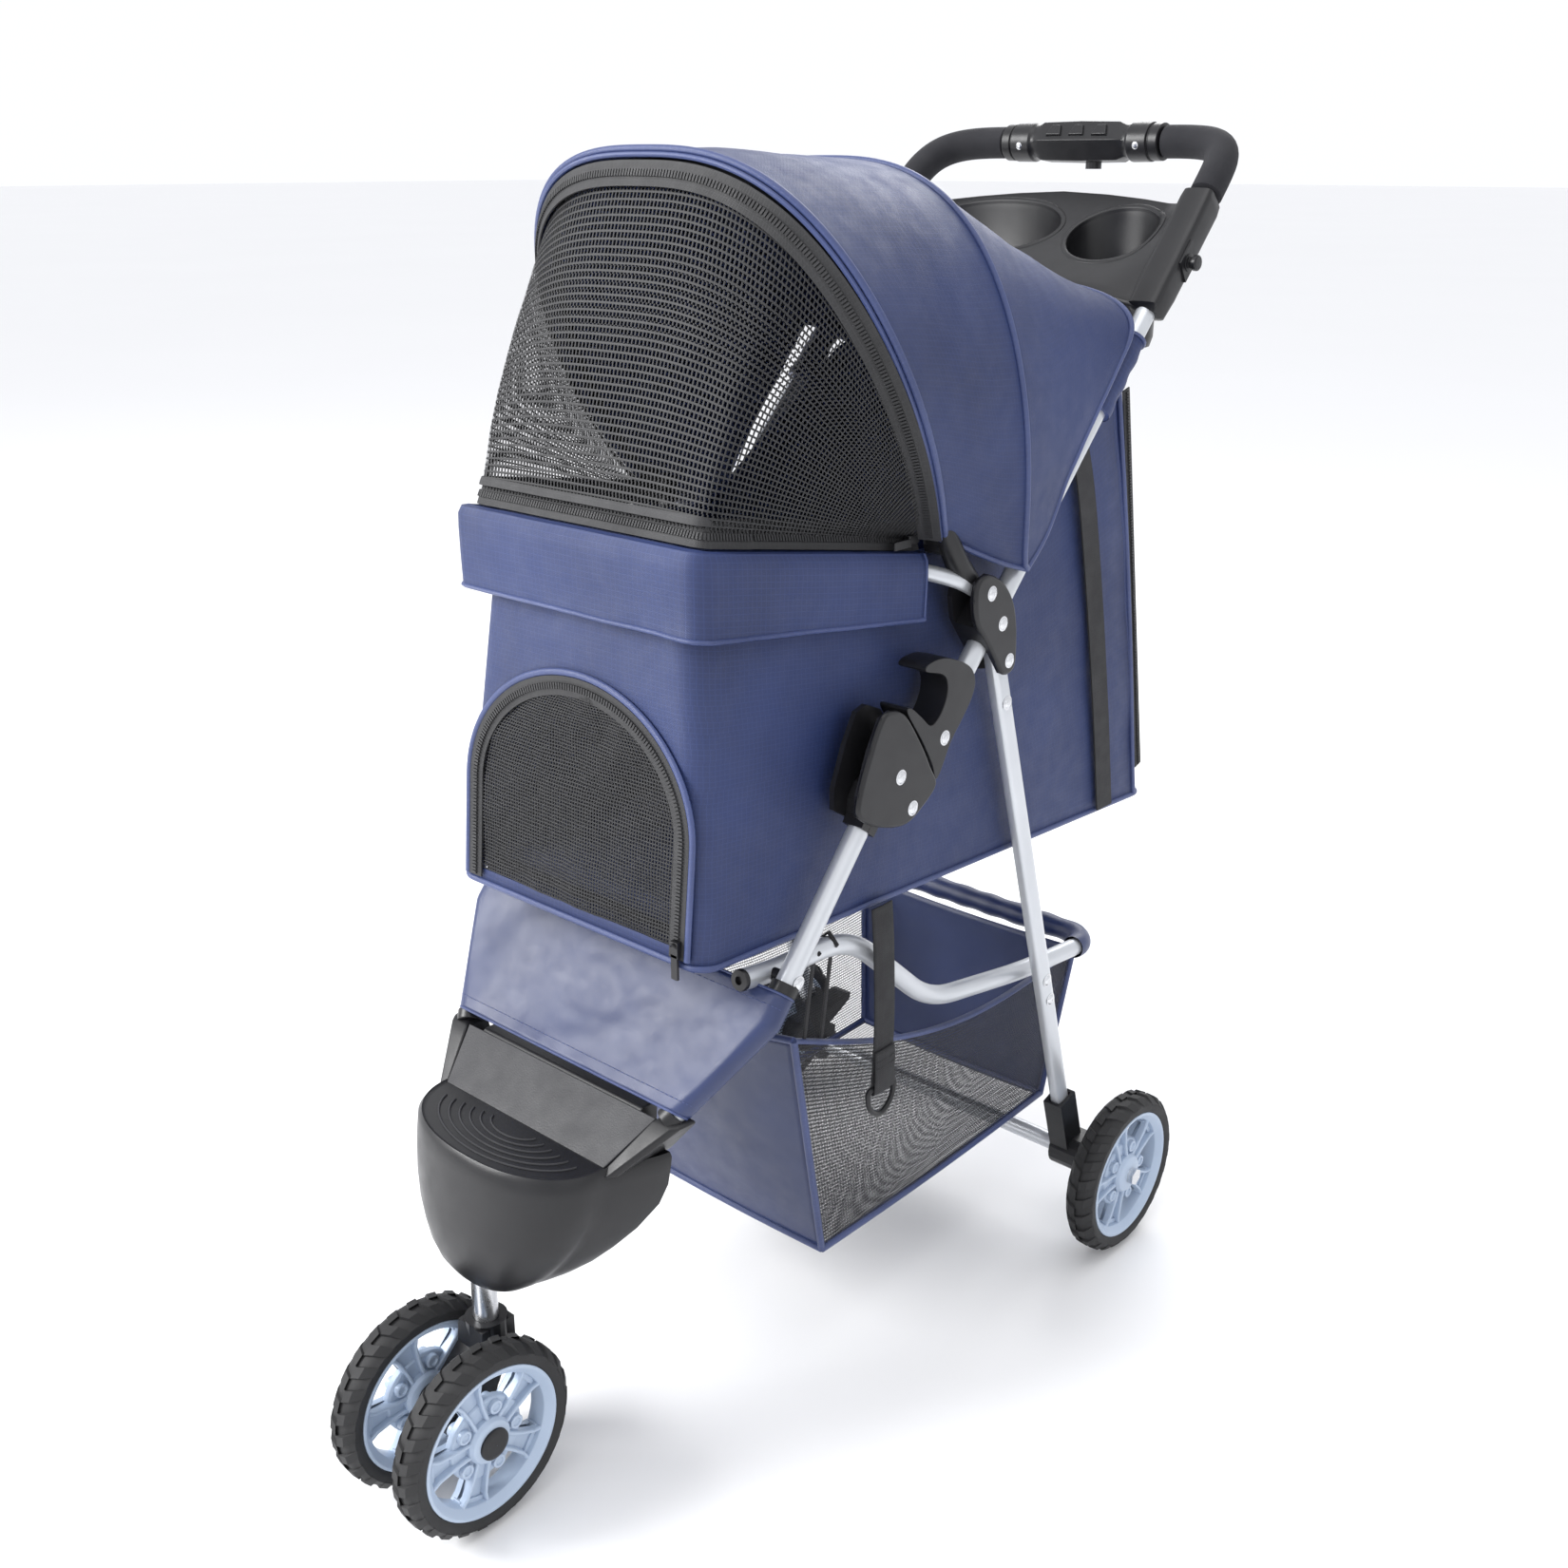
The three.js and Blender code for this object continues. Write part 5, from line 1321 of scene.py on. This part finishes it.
def arch_point(station, u, inset=0.0):
    """A point on one arch of the canopy: u runs from 1 at the left foot to -1 at the right."""
    foot, bulge, top, lean = station
    climb = max(math.sin((1 - abs(u)) * math.pi / 2), 0) ** 0.9
    pinch = 1 - (1 - foot[0] / bulge) * (1 - climb) ** 4
    spread = pinch * max(1 - climb**ARCH_POWER, 0) ** (1 / ARCH_POWER)
    return Vector((
        math.copysign(spread * (bulge - inset), u),
        foot[1] + (top[0] - foot[1]) * climb**lean,
        foot[2] + (top[1] - foot[2]) * climb - inset * climb,
    ))


def between(stations, t):
    """The arch at share t along a list of stations, through a smooth curve."""
    last = len(stations) - 1
    i = min(int(t * last), last - 1)
    f = t * last - i
    flat = [Vector((*s[0], s[1], *s[2], s[3])) for s in stations]
    a, b = flat[i], flat[i + 1]
    before = flat[i - 1] if i else a * 2 - b
    after = flat[i + 2] if i + 2 <= last else b * 2 - a
    v = 0.5 * (2 * a + (b - before) * f + (2 * before - 5 * a + 4 * b - after) * f * f
               + (3 * a - before - 3 * b + after) * f**3)
    return (tuple(v[:3]), v[3], tuple(v[4:6]), max(v[6], 0.3))


def even_arch(station, count, inset=0.0, reach=1.0):
    fine = [arch_point(station, reach * (1 - 2 * k / 400), inset) for k in range(401)]
    return evened(fine, count)


def canopy_cloth(name, stations, steps, body, look, replaces, dip):
    rows = []
    for i in range(steps + 1):
        t = i / steps
        sag = dip * math.sin(math.pi * t)
        row = even_arch(between(stations, t), 80)
        soft = []
        for k, p in enumerate(row):
            top = math.sin(math.pi * k / 80)
            inward = Vector((-p.x / 160 * (1 - top), 0, -top))
            wave = crease((p.x, p.y, p.z), 1.6, 0.012) * math.sin(math.pi * t)
            soft.append(p + inward * (sag * (0.3 + 0.7 * top)) + Vector((p.x / 160, 0, top)) * wave)
        rows.append(soft)
    return cloth(name, rows, body, look, replaces, 1.4), rows


seam_station = STATIONS[SEAM]
canopy_front, front_rows = canopy_cloth("canopy_cloth_front", STATIONS[: SEAM + 1], 28, None,
                                        "navy_fabric",
                                        ["canopy_front"], 3.0)
_, rear_rows = canopy_cloth("canopy_cloth_rear", STATIONS[SEAM:], 28, "cabin", "navy_fabric",
                                      ["canopy_rear"], 2.0)
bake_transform(canopy_front)


def rear_wall():
    """The plain panel between the canopy's last arch and the cabin's rear rim."""
    top = even_arch(STATIONS[-1], 60)
    rim_pts = [Vector((x, 268 if abs(x) < 120 else 268 - (abs(x) - 120) * 0.5,
                       cabin_rim(268 if abs(x) < 120 else 258)))
               for x in (141 * (1 - 2 * k / 60) for k in range(61))]
    rows = [[a.lerp(b, t) + Vector((0, 3 * math.sin(math.pi * t), 0)) for a, b in zip(top, rim_pts)]
            for t in (i / 8 for i in range(9))]
    cloth("canopy_back_panel", rows, "cabin", "navy_fabric")


rear_wall()


def canopy_trim():
    front = Build()
    arch = even_arch(STATIONS[0], 120)
    front.sweep(arch, 2.6, 10)
    front.sweep([p + Vector((0, -3, -1)) for p in even_arch(STATIONS[0], 120, 2.5)], 1.8, 8)
    front.object("canopy_front_piping", "canopy", "navy_binding")
    seam = Build()
    seam.sweep(even_arch(seam_station, 120, -0.6), 2.6, 10)
    for side in SIDES:
        edge = [p for p in (r[-1 if side < 0 else 0] for r in rear_rows)]
        seam.sweep(edge, 2.4, 10)
    seam.sweep(even_arch(STATIONS[-1], 90), 2.4, 10)
    seam.object("canopy_seam_piping", "cabin", "navy_binding")
    hem = Build()
    for side in SIDES:
        hem.sweep([r[-1 if side < 0 else 0] for r in front_rows], 2.4, 10)
    piece = hem.object("canopy_side_hem", None, "navy_binding")
    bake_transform(piece)
    band = Build()
    face = lambda p: (p.x / 300, -1, 0.35)
    inner_arch = [p + Vector((0, -7, -6)) for p in even_arch(STATIONS[0], 150, 9, 0.99)]
    zip_line(band, inner_arch, face, 17)
    band.object("canopy_arch_zip", "canopy", "zip")


canopy_trim()


def handle_sleeves():
    """Cloth sleeves that tie the canopy's rear to the handle tubes."""
    sleeves, hems = Build(), Build()
    for side in SIDES:
        start, end = 352, 424
        path = [Vector(on_handle(start + (end - start) * k / 24, side * SIDE_X)) for k in range(25)]
        sleeves.sweep(path, lambda t: 10.4 + 0.6 * math.sin(19 * t) + 1.4 * (1 - t), 24,
                      capped=False)
        for p, q in ((path[0], path[1]), (path[-2], path[-1])):
            hems.sweep([p, q], 11.6, 20)
    sleeves.object("handle_sleeves", "handle", "navy_fabric")
    hems.object("handle_sleeve_hems", "handle", "navy_binding", bevel=0.6)


handle_sleeves()

# The sewn zip at the foot of the net runs round the rim above the collar.
NET_FOOT = evened([Vector((p.x * 0.965, p.y * 0.965 + 2, collar_top(p.y) + 7.5))
                   for p in (r[3] for r in collar_rows)], 120)


def canopy_net():
    head = evened([p + Vector((0, -5, -8)) for p in even_arch(STATIONS[0], 200, 12, 0.97)], 120)
    rows = []
    for i in range(41):
        t = i / 40
        row = []
        for k, (a, b) in enumerate(zip(head, NET_FOOT)):
            p = a.lerp(b, t)
            swell = 5 * math.sin(math.pi * t) * math.sin(math.pi * k / 120) ** 0.7
            wave = crease((p.x, p.y, p.z), 2.0, 0.012) * math.sin(math.pi * t)
            row.append(p + Vector((p.x / 150 * 0.5, -1, 0.1)) * (swell + wave))
        rows.append(row)
    net = cloth("canopy_net", rows, None, "black_mesh", ["window"],
                0.6)
    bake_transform(net)
    foot = Build()
    zip_line(foot, NET_FOOT, lambda p: (p.x / 130, -0.8 if p.y < -150 else -0.15, 0.45), 15)
    zip_line(foot, [p + Vector((-p.x * 0.01, 0, 9.5)) for p in NET_FOOT],
             lambda p: (p.x / 130, -0.8 if p.y < -150 else -0.15, 0.45), 6, False)
    foot.object("rim_zip", "cabin", "zip")
    pulls = Build()
    for side in SIDES:
        p = NET_FOOT[2 if side > 0 else -3]
        pulls.block(p + Vector((side * 5, 0, 2)), (3, 6, 3.2))
        pulls.block(p + Vector((side * 7, -13, 0)), (1.1, 10, 3))
    pulls.object("rim_zip_pulls", "cabin", "black_plastic", bevel=0.7)


canopy_net()

# ---- Basket -------------------------------------------------------------------------------------

basket_top = height_line([(-116, 334), (-12, 300), (120, 276), (290, 256)])
BASKET_LOW = dict(x=108, front=-62, rear=262, z=108)


def basket():
    low_x, low_front, low_rear, low_z = BASKET_LOW.values()
    top_x = 124
    trim = Build()

    def sagged(corners, steps, out, depth):
        """A panel between two edges, given as functions of the share across, that bellies out."""
        rows = []
        for i in range(steps + 1):
            t = i / steps
            row = []
            for k in range(steps + 1):
                u = k / steps
                p = corners[0](u).lerp(corners[1](u), t)
                belly = math.sin(math.pi * t) * math.sin(math.pi * u)
                row.append(p + Vector(out) * (depth * belly + crease((p.x, p.y, p.z), 1.5,
                    0.02) * belly))
            rows.append(row)
        return rows

    def edge(a, b, droop=0.0):
        return lambda u: Vector(a).lerp(Vector(b),
                                        u) - Vector((0, 0, droop * math.sin(math.pi * u)))

    front_top = edge((top_x, -116, 330), (-top_x, -116, 330), 16)
    front_low = edge((low_x, low_front, low_z), (-low_x, low_front, low_z), 2)
    front = cloth("basket_front", sagged((front_top, front_low), 30, (0, -1, 0), 5), "link",
                  "navy_satin", ["basket"])
    for side in SIDES:
        top = edge((side * top_x, -116, 330), (side * top_x, 278, 262), 34)
        low = edge((side * low_x, low_front, low_z), (side * low_x, low_rear, low_z), 3)
        rows = sagged((top, low), 30, (side, 0, 0), 6)
        cloth(f"basket_net_{SIDE_NAME[side]}", rows, "link", "basket_mesh")
        trim.sweep(rows[0], 3.2, 10, 0.7)
        trim.sweep(rows[-1], 3.4, 10)
        trim.sweep([r[0] for r in rows], 3.0, 10)
        trim.sweep([r[-1] for r in rows], 3.0, 10)
    rear_top = edge((top_x, 278, 262), (-top_x, 278, 262), 3)
    rear_low = edge((low_x, low_rear, low_z), (-low_x, low_rear, low_z), 3)
    cloth("basket_back", sagged((rear_top, rear_low), 24, (0, 1, 0), 4), "link", "navy_satin")
    bottom = sagged((front_low, rear_low), 24, (0, 0, -1), 3)
    cloth("basket_bottom", bottom, "link", "basket_mesh")
    trim.sweep([front_top(k / 30) for k in range(31)], 3.0, 10)
    trim.sweep([front_low(k / 30) for k in range(31)], 3.2, 10)
    trim.sweep([rear_low(k / 30) for k in range(31)], 3.2, 10)
    trim.object("basket_binding", "link", "navy_binding")
    # The back panel's sleeve goes over the link tube's rear bar and its two corners.
    bar = [p for p in link_path if p.y > 232]
    sleeve = Build()
    sleeve.sweep(evened(bar, 60), lambda t: 10.2 + 0.5 * math.sin(60 * t), 20, capped=False)
    sleeve.object("basket_sleeve", "link", "navy_satin")
    loops = Build()
    for side in SIDES:
        for y in (-104, -84):
            z = basket_top(y)
            loops.sweep([Vector((side * top_x, y, z - 4)), Vector((side * (LINK_X + 2), y, 392)),
                         Vector((side * (LINK_X + 8), y, 402)), Vector((side * LINK_X, y, 410)),
                         Vector((side * (LINK_X - 9), y, 402))], 2.2, 8, 0.5)
    loops.object("basket_hanging_loops", "link", "webbing")


basket()


def strap():
    x, y = 147, -38
    rows = []
    path = smooth_path([(x - 3, y, 420), (x, y, 380), (x + 1, y + 1, 320), (x, y, 272),
                        (x + 0.4, y, 264.5), (x + 2.4, y, 262.5), (x + 3.4, y, 272),
                        (x + 3.2, y, 296), (x + 2.4, y, 300)], 70)
    for p in path:
        rows.append([p + Vector((0.25 * math.cos(3 * s), 12 * s, 0)) for s in
                     (-1, -0.75, -0.5, -0.25, 0, 0.25, 0.5, 0.75, 1)])
    cloth("side_strap", rows, "cabin", "webbing", ["strap"], 1.3)
    stitch = Build()
    for z in (286, 292):
        for k in range(8):
            a = Vector((x + 4.1, y - 10.5 + k * 3, z))
            stitch.sweep([a, a + Vector((0, 1.9, 0))], 0.35, 5)
    stitch.object("side_strap_stitches", "cabin", "webbing")
    ring = Build()
    corners = [(x, y - 6, 267.5), (x, y - 17, 267.5), (x, y - 15, 250), (x, y, 239),
               (x, y + 15, 250),
               (x, y + 17, 267.5), (x, y + 6, 267.5)]
    ring.sweep(bent(corners, 9, 8) + [Vector(corners[0])], 2.3, 14)
    ring.object("strap_d_ring", "d_ring", "black_plastic", ["d_ring"])


strap()

# ---- CAD pieces that keep their own shape -------------------------------------------------------

SLOTS = {row["node"]: row["material_slot"] for row in frame["record"]["subparts"]}
for name, node in frame["nodes"].items():
    if node.hide_render:
        continue
    node.data.materials.clear()
    node.data.materials.append(LOOKS[SLOTS[name]])
    for face in node.data.polygons:
        face.use_smooth = True
    chunky = name.startswith(("knuckle", "hinge_block", "latch", "leg_cap"))
    round_edges(node, 2.2 if chunky else 1.1 if SLOTS[name] == "black_plastic" else 0.5, 4)

# ---- Floor, light and camera --------------------------------------------------------------------


def stage():
    bpy.ops.mesh.primitive_plane_add(size=120, location=(0, 0, -0.0005))
    floor = bpy.context.object
    floor.name = "floor"
    n = Nodes("floor_paint")
    n.link(n.mix(n.noise(0.6, 2), (0.90, 0.90, 0.905), (0.92, 0.92, 0.925)),
           n.shader.inputs["Base Color"])
    n.shader.inputs["Roughness"].default_value = 0.8
    floor.data.materials.append(n.material)
    world = bpy.data.worlds.new("studio")
    world.use_nodes = True
    world.node_tree.nodes["Background"].inputs["Color"].default_value = (0.96, 0.97, 1.0, 1)
    world.node_tree.nodes["Background"].inputs["Strength"].default_value = 1.04
    bpy.context.scene.world = world
    middle = Vector((0, 0, 0.5))
    for name, place, size, power in (
        ("key", (-1.9, -2.5, 2.2), 1.6, 150), ("fill", (2.4, -1.4, 1.9), 2.2, 6),
        ("rim", (-0.8, 2.4, 2.3), 1.4, 34), ("top", (0.3, -0.2, 3.0), 1.8, 18),
    ):
        data = bpy.data.lights.new(name, "AREA")
        data.size, data.energy = size, power
        lamp = bpy.data.objects.new(name, data)
        lamp.location = place
        lamp.rotation_euler = (middle - Vector(place)).to_track_quat("-Z", "Y").to_euler()
        bpy.context.scene.collection.objects.link(lamp)


def camera():
    azimuth, pitch = math.radians(41.4), math.radians(20.7)
    data = bpy.data.cameras.new("camera")
    data.lens, data.sensor_width = 38.07, 36
    eye = bpy.data.objects.new("camera", data)
    eye.location = (0.8366, -0.935, 0.9445)
    ahead = Vector((-math.sin(azimuth) * math.cos(pitch), math.cos(azimuth) * math.cos(pitch),
                    -math.sin(pitch)))
    eye.rotation_euler = ahead.to_track_quat("-Z", "Y").to_euler()
    bpy.context.scene.collection.objects.link(eye)
    bpy.context.scene.camera = eye


# Each of these cabin pieces gets its own copy of its mesh.
for name in ("cabin_cloth", "cabin_underside", "cabin_pad", "floor_board", "cabin_binding",
             "cabin_corner_zips", "cabin_side_webbing", "door_net", "door_zip", "door_binding",
             "door_zip_pull", "side_strap", "side_strap_stitches", "d_ring"):
    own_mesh(bpy.data.objects[name])

stage()
camera()
bpy.context.scene.view_settings.view_transform = "Standard"
